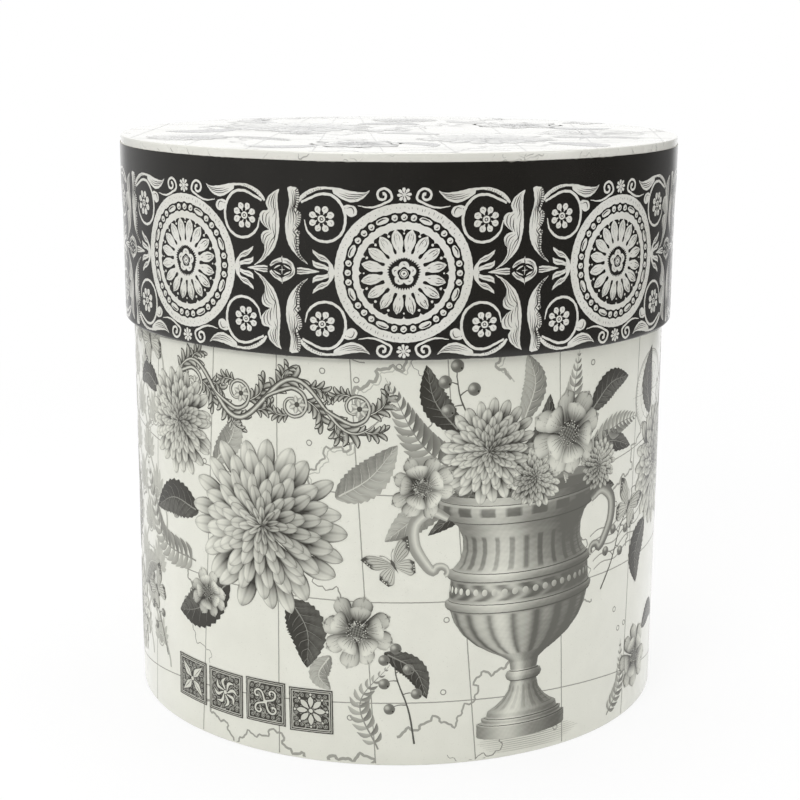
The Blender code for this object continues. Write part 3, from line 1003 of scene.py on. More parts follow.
bloomChance = {"turn": 0.06, "reach": (0.93, 1.05), "bend": 0.09, "half": (0.88, 1.1),
               "tone": 0.035}


def bloom(look, seed, size):
    # Rings of petals, outer ones lowest: s runs outward and t across each petal. Each is turned,
    # lengthened, bent and shaded a little by chance, and small ones have fewer rows and columns.
    draw, chance = np.random.default_rng(seed), bloomChance
    motif, rings = [], look["rings"]
    for r in range(rings):
        share = r / max(rings - 1, 1)
        outer = look["radius"] * (1 - look["close"] * share**0.85)
        length = look["radius"] * (look["long"] - 0.36 * share)
        count = max(5, round(look["petals"] * (1 - 0.58 * share)))
        half = look["wide"] * math.pi * (outer - 0.4 * length) / count
        rows = 7 if length * size < 6.5 else 9 if length * size < 11 else 12
        columns = 5 if half * size < 1.6 else 7 if half * size < 2.8 else 9
        s, t = shares(rows, columns)
        s = 1 - (1 - s)**1.6  # rows lie closer towards the tip
        wide, inset, plain = look["petal"](s, t, share)
        for k in range(count):
            a = fullTurn * (k + 0.5 * (r % 2) + draw.normal(0, chance["turn"])) / count
            reach = outer * draw.uniform(*chance["reach"])
            bend = draw.normal(0, chance["bend"]) * length
            side = half * draw.uniform(*chance["half"]) * wide * t
            tone = plain + 0.11 * math.cos(a - sun) + 0.2 * t * math.sin(sun - a)
            tone = tone + draw.normal(0, chance["tone"])
            petal = placed((reach - length * (1 - s + inset), side + bend * s**2), turn=a)
            top = 3 * r + (2 if count % 2 and k == count - 1 else k % 2)
            motif.append((petal, np.clip(tone, 0.02, 0.98), top))
            for v in look["veins"]:
                line = [(reach - length * (1 - x), v * half * x**0.7 + bend * x * x)
                        for x in (0.2, 0.5, 0.66 + 0.12 * math.cos(3 * v))]
                motif.append((placed(stroke(line, [0.14, 0.09, 0.02], 0.9), turn=a), 0.2, top))
    if look["eye"]:
        motif += bloomEye(look, 3 * rings)
    return motif


def bloomEye(look, level):
    # A mottled dark disc, and threads with pale ends in three turns round it.
    x, y = dot(look["eye"], 12)
    tone = np.clip(0.16 + 0.22 * np.sin(4.1 * x) * np.sin(4.3 * y + 1), 0.02, 1)
    motif = [((x, y), tone, level)]
    for k in range(look["stamens"]):
        r = look["eye"] * (1.18, 1.5, 1.84)[k % 3]
        a = (k + 0.4 * math.sin(5 * k)) * fullTurn / look["stamens"]
        thread = stroke([(0.9 * look["eye"], 0), (r, 0)], [0.05, 0.05], 0.8)
        motif.append((placed(thread, turn=a), 0.12, level))
        motif.append((placed(dot(0.34, 2), polar(r, a)), 0.1, level + 1))
        motif.append((placed(dot(0.2, 2), polar(r, a)), 0.85, level + 2))
    return motif


def leaf(path, width, look):
    # A leaf along a curved midrib: half-width w sin(pi s^0.8)^0.8 with saw teeth, light on one half
    # and dark on the other, with soft bands and pale lines for its ribs.
    rows, columns = 41, 9
    s, t = shares(rows, columns)
    saw = np.mod(s[:, 0] * look["teeth"], 1) * look["bite"]
    half = width * np.sin(math.pi * np.clip(s[:, 0], 0.004, 0.996) ** 0.8) ** 0.8 * (1 - saw)
    x, y = blade(path, half, rows, columns)
    lit = 0.5 + 0.5 * np.tanh(4 * t * look["turned"])
    tone = look["dark"] + (look["light"] - look["dark"]) * lit * (0.7 + 0.3 * s)
    ribs = look["ribs"]
    tone = tone - (0.035 + 0.1 * look["dark"]) * np.cos(fullTurn * (ribs * s - 1.1 * np.abs(t)))
    tone = tone + 0.02 * np.sin(31 * s + 5 * np.sin(7 * t)) * np.sin(17 * t + 9 * s)
    motif = [((x, y), np.clip(tone, 0.03, 0.95), 0)]
    points = np.stack([x, y], -1)
    mid = points[:, columns // 2]
    vein = min(0.95, look["light"] + 0.2)
    motif.append((stroke(mid[2:39:4], [0.26, 0.14, 0.03]), vein, 1))
    for k in range(1, ribs):
        row = round(40 * k / ribs)
        for column in (1, 7):
            ends = [mid[row], points[min(row + 2, 38), (4 + column) // 2],
                    points[min(row + 5, 38), column]]
            motif.append((stroke(ends, [0.09, 0.07, 0.02], 0.8), vein - 0.06, 1))
    return motif


def headingAt(path, row):
    # The direction of a path at one of its points, from the points on either side.
    step = path[row + 1] - path[row - 1]
    return math.atan2(step[1], step[0])


def fern(path, reach, pairs, tone):
    # A frond: leaflets in pairs along a stem, longest a third of the way up.
    mid = smoothCurve(path, pairs + 2)
    motif = [(stroke(path, [0.3, 0.2, 0.05], 1.0), tone - 0.05, 2)]
    shape = smoothCurve([0.12, 0.2, 0.24, 0.17, 0.02], 7)[:, 0]
    for k in range(1, pairs + 1):
        s = k / (pairs + 1)
        size = reach * math.sin(math.pi * (0.1 + 0.9 * s) ** 0.7) ** 0.8
        for side in (-1, 1):
            rib = [(0, 0), (size / 2, 0.05 * size * side), (size, 0.22 * size * -side)]
            leaflet = blade(rib, shape * max(size, 1.5) * 0.72, 7, 3)
            shade = tone + 0.1 * side + 0.05 * math.sin(9 * k) + np.array([0.1, 0, -0.08])
            turn = headingAt(mid, k) + side * (1.2 - 0.45 * s)
            motif.append((placed(leaflet, mid[k], turn), shade, k % 2))
    return motif


def berries(stem, spots, size, tone):
    # A forked sprig: each spot is (x, y, share of the stem where its stalk leaves).
    motif = [(stroke(stem, [0.34, 0.26, 0.14], 1.0), tone, 0)]
    line = smoothCurve(stem, 50)
    x, y = dot(size, 7)
    ball = tone + 0.62 * np.exp(-((x / size + 0.32)**2 + (y / size - 0.35)**2) / 0.16)
    ball = ball + 0.12 * ((x / size)**2 + (y / size)**2)
    for bx, by, share in spots:
        foot = line[int(share * 49)]
        middle = (0.5 * (foot[0] + bx), 0.5 * (foot[1] + by) + 0.12 * abs(bx - foot[0]))
        motif.append((stroke([foot, middle, (bx, by)], [0.2, 0.14, 0.12], 1.0), tone + 0.05, 0))
        motif.append((placed((x, y), (bx, by)), ball, 1))
        motif.append((placed(dot(size * 0.16, 2), (bx + 0.5 * size, by - 0.55 * size)), 0.02, 2))
    return motif


urnLook = {
    "height": 86.0, "sag": 0.13, "mouth": 31.2,
    "profile": [(0, 17), (4.6, 17), (4.7, 15.2), (6.4, 15.4), (6.6, 13.6), (8.6, 13.2), (10, 10.6),
                (12, 8.0), (15, 5.8), (18.6, 4.9), (18.8, 6.2), (20.4, 7.0), (22, 6.2), (22.2, 5.0),
                (25.6, 5.6), (27.6, 8.4), (30, 13.2), (33, 18.2), (37, 22.6), (41, 25.2), (46, 26.8),
                (46.2, 28), (47.6, 28.4), (49, 28), (49.2, 27), (56.6, 26.4), (56.8, 27.6),
                (58.2, 27.8), (59.4, 27.2), (59.6, 25.6), (62, 23.6), (66, 22.4), (70, 22.6),
                (74, 24.4), (76.6, 27.2), (76.8, 28.6), (79, 30.6), (81, 31.6), (83, 31.4),
                (83.2, 30.4), (86, 31.2)],
    "gadroons": (9, 29.0, 46.0), "flutes": (26, 60.0, 72.0), "eggs": (20, 79.2, 82.6),
    "leafBand": (18, 50.0, 56.0), "footLobes": (16, 9.0, 17.5),  # how many round, from, to
    "lines": (4.7, 6.6, 18.8, 22.1, 46.2, 49.1, 56.8, 59.5, 76.7, 83.3),  # under the mouldings
    "pearls": {"count": 21, "up": 53.2, "reach": 26.6, "step": 0.148, "size": 1.15},
    "hatches": {"count": 64, "from": 3, "pitch": 1.28},
    "handle": [(27.5, 76.5), (33.0, 79.0), (38.4, 75.0), (38.6, 68.0), (35.0, 61.5)],
    "handleHalf": [1.2, 1.9, 2.1, 1.9, 1.6, 1.4, 1.2, 1.0, 0.9, 0.8],
}


def roundUrn(up, reach, a):
    # Points round the urn at one height: reach sin a across, and sag times reach cos a down.
    return reach * np.sin(a), up - urnLook["sag"] * reach * np.cos(a)


def urnBody(z, r):
    # The turned profile, drawn as x = r(z) u and y = z - sag r sqrt(1 - u^2) with u from -1 to 1,
    # shaded by u and by the profile's slope. Gadroons, flutes and bands go by the angle arcsin u.
    look, u = urnLook, np.linspace(-1, 1, 91)[None, :]
    z, r = z[:, None], r[:, None]
    phi = np.arcsin(u)
    bulge = np.sqrt(1 - u**2)
    lean = np.tanh(np.gradient(r, axis=0) / (z[1] - z[0]) * 0.9)
    tone = 0.26 + 0.54 * np.exp(-((u + 0.38) / 0.40)**2) - 0.24 * ease((u - 0.25) / 0.5)
    tone = tone + 0.16 * ease((u - 0.84) / 0.16) - 0.20 * lean
    tone = tone + 0.035 * np.sin(17 * z + 3 * np.sin(9 * u)) * np.sin(41 * u + 0.8 * z)

    def zone(key, soft=1.0):
        # 1 between a band's two heights, with soft edges, and the angle times its count.
        count, low, high = look[key]
        return ease((z - low) / soft) * ease((high - z) / soft), phi * count
    bowl, lobes = zone("gadroons")
    tone = tone + bowl * (0.14 - 0.62 * (1 - np.abs(np.cos(lobes)))**1.5)
    neck, flutes = zone("flutes")
    tone = tone - neck * 0.34 * ease(np.cos(flutes) * 3 - 0.8)
    lip, eggs = zone("eggs", 0.4)
    tone = tone - lip * 0.5 * ease(1.2 - 3 * np.cos(eggs))
    band, leaves = zone("leafBand", 0.3)
    tone = tone - band * (0.26 + 0.26 * np.sin(leaves + 1.6 * np.sin(z * 1.05)))
    foot, lobes = zone("footLobes")
    tone = tone - foot * 0.16 * ease(np.cos(lobes) * 2)
    tone = np.where(tone < 0.3, 0.14 + 0.53 * np.maximum(tone, 0), tone)  # no shade is quite black
    return (r * u, z - look["sag"] * r * bulge), np.clip(tone, 0.05, 0.96), 0


def urn():
    # A garden urn: body, mouth, pearls, lines, hatching, scrolled handles and a ground shadow.
    look = urnLook
    z = np.linspace(0, look["height"], 190)
    r = np.interp(z, *np.array(look["profile"]).T)
    motif = [urnBody(z, r)]
    x, y = dot(look["mouth"], 14)
    y = y * look["sag"] * 1.02 + look["height"]
    motif.append(((x, y), 0.16 + 0.12 * (y > look["height"]), 1))
    pearls = look["pearls"]
    for k in range(pearls["count"]):
        a = (k - 10) * pearls["step"]
        x, y = dot(pearls["size"], 4)
        x = x * math.cos(a)
        tone = 0.62 - 0.3 * math.sin(a) + 0.2 * (y - x) / 2.3
        motif.append((placed((x, y), roundUrn(pearls["up"], pearls["reach"], a)), tone, 2))
    for low in look["lines"]:
        arc = roundUrn(low, np.interp(low, z, r), np.linspace(-1.5, 1.5, 17))
        motif.append((stroke(list(zip(*arc)), [0.08, 0.16, 0.28], 1.0), 0.1, 2))
    hatches = look["hatches"]
    for k in range(hatches["count"]):  # on the shaded side
        up = hatches["from"] + hatches["pitch"] * k
        turn = np.linspace(0.72 + 0.12 * math.sin(2.3 * k), 1.42, 5)
        arc = roundUrn(up, np.interp(up, z, r), turn)
        motif.append((stroke(list(zip(*arc)), [0.02, 0.1, 0.12, 0.05], 1.2), 0.14, 2))
    curl = spiral((29.2, 58.0), -0.4, 4.4, 3.8, 1.0, 8)
    across = np.linspace(-1, 1, 7)
    for side in (-1, 1):
        path = [(side * x, y) for x, y in look["handle"] + curl[1:]]
        tone = 0.28 + 0.5 * np.exp(-((across * side + 0.3) / 0.45)**2) - 0.1 * side
        motif.append((stroke(path, look["handleHalf"], 1.0, 7), tone, 3))
    for k in range(9):  # the shadow on the ground
        width = 24 - 1.6 * abs(k - 3)
        line = [(-width * 0.7, -0.6 - 0.75 * k), (width, -0.9 - 0.75 * k)]
        motif.append((stroke(line, [0.04, 0.16, 0.04], 2.0), 0.5 + 0.03 * k, 0))
    return motif


wings = (  # a fore and a hind wing of size 1 as two edges, and how much paler each is
    ([(0, 0.05), (0.35, 0.6), (0.85, 0.98), (1.25, 0.95)],
     [(0, -0.02), (0.4, 0.05), (0.8, 0.15), (1.02, 0.35)], 0.0),
    ([(0, 0), (0.4, 0.02), (0.75, -0.05), (0.92, -0.3)],
     [(0, -0.1), (0.2, -0.45), (0.45, -0.8), (0.72, -0.78)], 0.08))


def butterfly(size):
    # Two pairs of wings between edge curves, dark rimmed, with veins, spots, a body and feelers.
    motif = []
    s, t = shares(14, 11)
    for side in (-1, 1):
        for edgeA, edgeB, extra in wings:
            x, y = between(edgeA, edgeB, 14, 11)
            x, y = x * size * side, y * size
            rim = ease((s - 0.72 + 0.08 * np.sin(t * 7)) / 0.12)
            edge = ease((np.abs(t) - 0.8) / 0.2)
            tone = 0.74 + extra - 0.16 * s - 0.62 * np.maximum(rim, 0.6 * edge)
            motif.append(((x, y), np.clip(tone, 0.06, 0.95), 0))
            for column in (2, 4, 6, 8):
                vein = np.stack([x[::3, column], y[::3, column]], 1)
                motif.append((stroke(vein, [0.05, 0.09, 0.05], 0.6), 0.16, 1))
            for column in (3, 5, 7):
                spot = placed(dot(0.035 * size, 2), (x[12, column], y[12, column]))
                motif.append((spot, 0.8, 1))
        feeler = [(side * x * size, y * size) for x, y in ((0.02, 0.25), (0.16, 0.55), (0.36, 0.72))]
        motif.append((stroke(feeler, [0.07, 0.06, 0.12]), 0.15, 2))
    body = [(0, 0.3 * size), (0, 0), (0, -0.42 * size)]
    motif.append((stroke(body, [0.03 * size, 0.075 * size, 0.04 * size, 0.02], 0.5, 4), 0.1, 2))
    return motif


def acanthus(path, reach, lobes):
    # A curled leaf: long outlined lobes in pairs along a bent midrib, each hooked at its tip.
    steps = 4 * lobes
    mid = smoothCurve(path, steps + 2)
    motif = []
    shape = smoothCurve([0.10, 0.15, 0.19, 0.17, 0.10, 0.01], 10)[:, 0]
    for k in range(lobes + 1):
        s = k / lobes
        row = min(1 + int(0.8 * s * steps), steps)
        size = reach * (0.62 + 0.38 * math.sin(math.pi * (0.15 + 0.6 * s)))
        for side in (-1, 1) if k < lobes else (0,):
            line = np.array([(-0.1, 0), (0.4, -0.05 * side), (0.8, 0.06 * side), (1.0, 0.24 * side)])
            turn = headingAt(mid, row) + side * (0.72 - 0.3 * s)
            rim = blade(line * size * 1.06, size * shape + 0.16, 10, 3)
            lobe = blade(line * size, size * shape, 10, 5)
            tone = np.array([0.20, 0.62, 0.97, 0.80, 0.36])[:: 1 if side < 1 else -1]
            tone = np.clip(tone - np.linspace(0.7, 0, 10)[:, None], 0.04, 1)
            motif.append((placed(rim, mid[row], turn), 0.05, 2 * (lobes - k)))
            motif.append((placed(lobe, mid[row], turn), tone, 2 * (lobes - k) + 1))
    motif.append((stroke(path, [0.36, 0.26, 0.05], 0.6), 0.04, 2 * lobes + 2))
    motif.append((stroke(path[:-1], [0.13, 0.1, 0.02], 0.6), 0.8, 2 * lobes + 3))
    return motif


def bowed(foot, heading, turns, length):
    # A path of equal steps whose heading changes by each of the turns in order.
    path = [foot]
    for turn in turns:
        heading += turn
        path.append(path[-1] + length * np.array([math.cos(heading), math.sin(heading)]))
    return path


scrollLook = {"wave": 37.0, "rise": 7.0, "curls": 4, "eye": (6.1, 1.3), "leaf": 5.0,
              "rod": [0.03, 0.16, 0.62, 0.95, 0.42, 0.08, 0.03]}  # tones across a round stem


def tendrils():
    # A running scroll: the stem is y = rise sin(2 pi x / wave), and in each bend a branch curls
    # round a flower, with curled leaves outside it that bow away and back, and more on the stem.
    look, motif = scrollLook, []
    quarter = look["wave"] / 4
    x = np.linspace(0, look["curls"] * 2 * quarter, 9 * look["curls"])
    path = np.stack([x, look["rise"] * np.sin(fullTurn * x / look["wave"])], 1)
    rod = look["rod"]
    motif.append((stroke(path, [0.15, 0.85, 0.95, 0.85, 0.6, 0.06], 0.7, 7), rod, 12))
    for k in range(look["curls"]):
        up = -1 if k % 2 else 1
        node = (2 * k * quarter, 0.0)
        eye = spiral((node[0] + quarter, -0.6 * up), math.pi, -up * 9.2, *look["eye"], 13)
        line = [node, (node[0] + 1.4, 1.2 * up)] + eye[1:]
        branch = stroke(line, [0.4, 0.66, 0.74, 0.66, 0.6, 0.54, 0.5, 0.44, 0.5], 0.6, 7)
        motif.append((branch, rod[:: -up], 13))
        curve = smoothCurve(line, 80)
        for row, spread, size in ((8, 0.45, 1.0), (27, 0.7, 0.85), (46, 0.7, 0.6)):
            turns = up * np.array([spread, -0.25, -0.5, -0.6])
            bend = bowed(curve[row], headingAt(curve, row), turns, 0.62 * size * look["leaf"])
            motif += acanthus(bend, size * look["leaf"], 4)
        petal = blade([(0.5, 0), (1.6, 0.1), (2.7, 0)], [0.2, 0.62, 0.8, 0.6, 0.05], 6, 3)
        motif += around(7, petal, [0.25, 0.95, 0.3], 14, at=eye[-1])
        motif.append((placed(dot(0.8, 5), eye[-1]), 0.08, 15))
    for row in range(4, len(x) - 3, 4):
        side = 1 if path[row, 1] > 0 else -1
        turns = side * np.array([0.7, -0.35, -0.6])
        motif += acanthus(bowed(path[row], headingAt(path, row), turns, 2.2), 3.4, 3)
    return motif


def lattice(columns, rows, cell):
    # A pale damask: an ogee net, x = half a cell times cos(pi y / h), with a palmette in each.
    width, height = cell
    motif = []
    y = np.linspace(0, rows * height, 8 * rows + 1)
    for c in range(columns + 1):
        for side in (-1, 1):
            if (c, side) in ((0, 1), (columns, -1)):
                continue  # one line is enough at each end of the net
            x = c * width + side * 0.5 * width * np.cos(math.pi * y / height)
            motif.append((stroke(np.stack([x, y], 1), [0.5, 0.5], 1.2), 0.56, 0))
    for c in range(columns + 1):
        for r in range(rows + 1):
            for shift in (0, 0.5):
                at = ((c + shift) * width, (r + shift + 0.5) * height - 0.2 * height)
                if at[0] <= columns * width and at[1] <= (rows - 0.25) * height:
                    motif += palmette(at, height)
    return motif


def palmette(at, height):
    # Nine lobes fanned about the upright, longest in the middle, over a ringed dot.
    motif = []
    shape = 1.25 * smoothCurve([0.1, 0.5, 0.85, 0.7, 0.08], 9)[:, 0]
    for k in range(-4, 5):
        reach = height * (0.40 - 0.045 * abs(k))
        rib = [(1.5, 0), (0.6 * reach, 0.3 * np.sign(k)), (reach, 1.2 * np.sign(k))]
        lobe = placed(blade(rib, shape, 9, 3), at, math.pi / 2 - 0.42 * k)
        motif.append((lobe, 0.60 + 0.05 * (k % 2), 1))
    motif.append((placed(dot(1.7, 5), at), 0.52, 2))
    motif.append((placed(ring(2.3, 2.8, 24), at), 0.56, 1))
    return motif


def compassStar(radius):
    # Sixteen points, each half dark and half light, over three fine rings with ticks between.
    motif = [(ring(radius * r, radius * r + w, 90), 0.5, 0)
             for r, w in ((0.62, 0.22), (0.86, 0.22), (0.89, 0.5))]
    tick = stroke([(0.79 * radius, 0), (0.86 * radius, 0)], [0.08, 0.08], 1.0)
    motif += around(72, tick, 0.5, 0)
    pointSets = ((8, 0.5, 0.62, 0.13), (4, 0.5, 0.78, 0.16), (4, 0.0, 1.04, 0.2))
    for level, (count, offset, reach, waist) in enumerate(pointSets):
        for k in range(count):
            a = (k + offset) * fullTurn / count
            for side, tone in ((-1, 0.38), (1, 0.86)):
                x, y = polar(waist * radius, side * math.pi / count)
                patch = (np.array([[0, x], [0, reach * radius]]), np.array([[0, y], [0, 0.0]]))
                motif.append((placed(patch, turn=a), tone, 1 + level))
            edge = stroke([(reach * radius, 0), (0.02, 0)], [0.03, 0.1], 2.0)
            motif.append((placed(edge, turn=a), 0.3, 1 + level))
    motif.append((ring(0.7, 1.5, 20), 0.3, 5))
    return motif


def wander(start, heading, length, wiggle, seed):
    # A wandering line: its heading drifts by a few sines of the distance run.
    draw = np.random.default_rng(seed)
    d = np.arange(0, length, 0.8)
    turn = np.full(d.size, heading)
    for wave, size in ((48, 0.7), (17, 0.75), (6.3, 0.7), (2.9, 0.55)):
        turn = turn + wiggle * size * np.sin(fullTurn * d / wave + draw.uniform(0, fullTurn))
    return np.stack([start[0] + 0.8 * np.cumsum(np.cos(turn)),
                     start[1] + 0.8 * np.cumsum(np.sin(turn))], 1)


chartLook = {"coasts": 9, "rivers": 12, "meridians": 9, "parallels": 5, "towns": 46}


def chart(width, height):
    # An old chart: coasts and rivers that wander, bent meridians and parallels, small town rings.
    look, motif = chartLook, []
    draw = np.random.default_rng(5)
    for k in range(look["coasts"]):
        start = (width * (k / (look["coasts"] - 1) - 0.5), draw.uniform(0, height))
        coast = wander(start, draw.uniform(-0.6, 0.6) + (k % 2) * math.pi / 2, 130, 1.0, 20 + k)
        motif.append((stroke(coast, [0.5, 0.34, 0.6, 0.3], 0.8), 0.46, 1))
        if k % 2:
            motif.append((stroke(coast + (1.2, -1.0), [0.2, 0.2], 0.8), 0.66, 0))
    for k in range(look["rivers"]):
        start = (draw.uniform(-width / 2, width / 2), draw.uniform(0, height))
        river = wander(start, draw.uniform(0, fullTurn), 55, 0.9, 40 + k)
        motif.append((stroke(river, [0.36, 0.22, 0.1], 0.8), 0.36, 1))
    lines = []
    for k in range(look["meridians"]):
        x = width * ((k + 0.3) / look["meridians"] - 0.5)
        lean = 16 * math.sin(0.9 * k + 0.4)
        lines.append([(x, 0), (x + 0.52 * lean, height / 2), (x + lean, height)])
    for k in range(look["parallels"]):
        y = height * (k + 0.45) / look["parallels"]
        rise = 9 * math.cos(1.7 * k)
        lines.append([(-width / 2, y - rise), (-width / 4, y), (0, y + 0.5 * rise),
                      (width / 4, y + 0.2 * rise), (width / 2, y - rise)])
    motif += [(stroke(line, [0.19, 0.19], 1.3), 0.42, 2) for line in lines]
    for k in range(look["towns"]):
        at = (draw.uniform(-0.48, 0.48) * width, draw.uniform(0.03, 0.97) * height)
        motif.append((placed(ring(0.7, 1.05, 16), at), 0.36, 3))
    return motif


def garnish(kind):
    # What fills a tile, in pale lines on its dark ground: crossed leaves, or one of three wheels.
    count, first = (8, 0) if kind % 2 else (4, fullTurn / 8)
    wide = smoothCurve([0.05, 0.9, 1.35, 0.8, 0.05], 12)[:, 0]
    curl = spiral((3.9, 0.4), 3.3, 6.0, 2.5, 0.5, 8)
    arm = (
        [(blade([(0.9, 0), (3.6, 0.3), (7.6, 0)], wide, 12, 3), 0.86, 1),
         (stroke([(1.5, 0), (6.6, 0.15)], [0.05, 0.12, 0.03]), 0.1, 2)],
        [(stroke([(1.0, 0), (3.6, 1.3), (5.4, -0.2)], [0.2, 0.55, 0.1]), 0.86, 1)],
        [(stroke([(0.4, 0)] + curl[1:], [0.3, 0.34, 0.3, 0.42]), 0.86, 1)],
        [(blade([(1.4, 0), (3.2, 0), (5.2, 0)], [0.2, 0.7, 0.95, 0.85, 0.1], 5, 3), 0.82, 1)],
    )[kind]
    motif = []
    for k in range(count):
        a = k * fullTurn / count + first
        motif += [(placed(patch, turn=a), tone, level) for patch, tone, level in arm]
        if kind == 3:
            motif.append((placed(dot(0.42, 3), polar(5.9, a)), 0.82, 1))
    motif.append((dot(0.75, 4), 0.86, 2))
    return motif


def filigree(half, cells, seed):
    # Curls that fill a square ground: one small scroll to a cell, turned by chance, with a bud
    # at its eye and a leaf that runs on into the next cell.
    draw = np.random.default_rng(seed)
    motif = []
    pitch = 2 * half / cells
    curl = spiral((0, 0), 0, 8.6, 0.50, 0.10, 9)
    for i, j in np.ndindex(cells, cells):
        at = ((i + 0.5) * pitch - half, (j + 0.5) * pitch - half)
        turn = draw.integers(4) * math.pi / 2 + draw.normal(0, 0.25)
        hand = 1 if (i + j) % 2 else -1
        line = stroke(curl, [0.05, 0.07, 0.06, 0.08], 0.3)
        bract = stroke([(0.50, 0), (0.56, -0.22), (0.44, -0.50), (0.18, -0.62)],
                       [0.04, 0.15, 0.10, 0.02], 0.16)
        for patch in (line, bract, placed(dot(0.13, 2), (0.02, 0.02))):
            motif.append((placed((patch[0], patch[1] * hand), at, turn, pitch), 0.43, 1))
    return motif


def halo(patch, grow):
    # A patch made wider: each row's points move out from the row's middle by the same length.
    x, y = patch
    dx, dy = x - x.mean(1, keepdims=True), y - y.mean(1, keepdims=True)
    far = np.maximum(np.hypot(dx, dy), 0.02)
    return x + dx / far * grow, y + dy / far * grow


def tile(kind, size):
    # A dark square with a double pale border, filled with curls, and a garnish over them.
    ground, margin = 0.035, 1.5
    s = np.linspace(-size / 2, size / 2, 14)
    x, y = np.meshgrid(s, s, indexing="ij")
    motif = [((x, y), ground, 0)] + filigree(size / 2 - margin, 6, 60 + kind)
    for inset, width in ((0.5, 0.13), (1.15, 0.17)):
        h = size / 2 - inset
        corners = [(-h, -h), (h, -h), (h, h), (-h, h), (-h, -h)]
        for a, b in zip(corners[:-1], corners[1:]):
            motif.append((stroke([a, b], [width, width], 1.2), 0.66, 2))
    scale = (size / 2 - margin) / 6.4  # the garnish is drawn for a half-width of 6.4
    for patch, tone, level in garnish(kind):
        patch = (patch[0] * scale, patch[1] * scale)
        motif += [(halo(patch, 0.34), ground, 3), (patch, tone, level + 4)]
    return motif


def waves(count, length):
    # Cancelling waves: parallel strokes, y = 3.1 k + 0.9 sin(x / 2.6).
    x = np.linspace(0, length, 22)
    lines = [np.stack([x, 3.1 * k + 0.9 * np.sin(x / 2.6)], 1) for k in range(count)]
    return [(stroke(line, [0.2, 0.24, 0.2], 0.9), 0.42, 0) for line in lines]


fullBloom = {"radius": 30, "rings": 8, "petals": 21, "wide": 1.4, "close": 0.88, "long": 0.54,
             "petal": fullPetal, "eye": 0, "veins": ()}
openBloom = {"radius": 15, "rings": 2, "petals": 8, "wide": 1.36, "close": 0.3, "long": 0.86,
             "petal": openPetal, "eye": 2.3, "stamens": 44, "veins": (-0.5, -0.2, 0.15, 0.45)}
leafLook = {"teeth": 13, "bite": 0.16, "ribs": 8, "dark": 0.0, "light": 0.115, "turned": 1}
paleLeaf = dict(leafLook, dark=0.30, light=0.58)

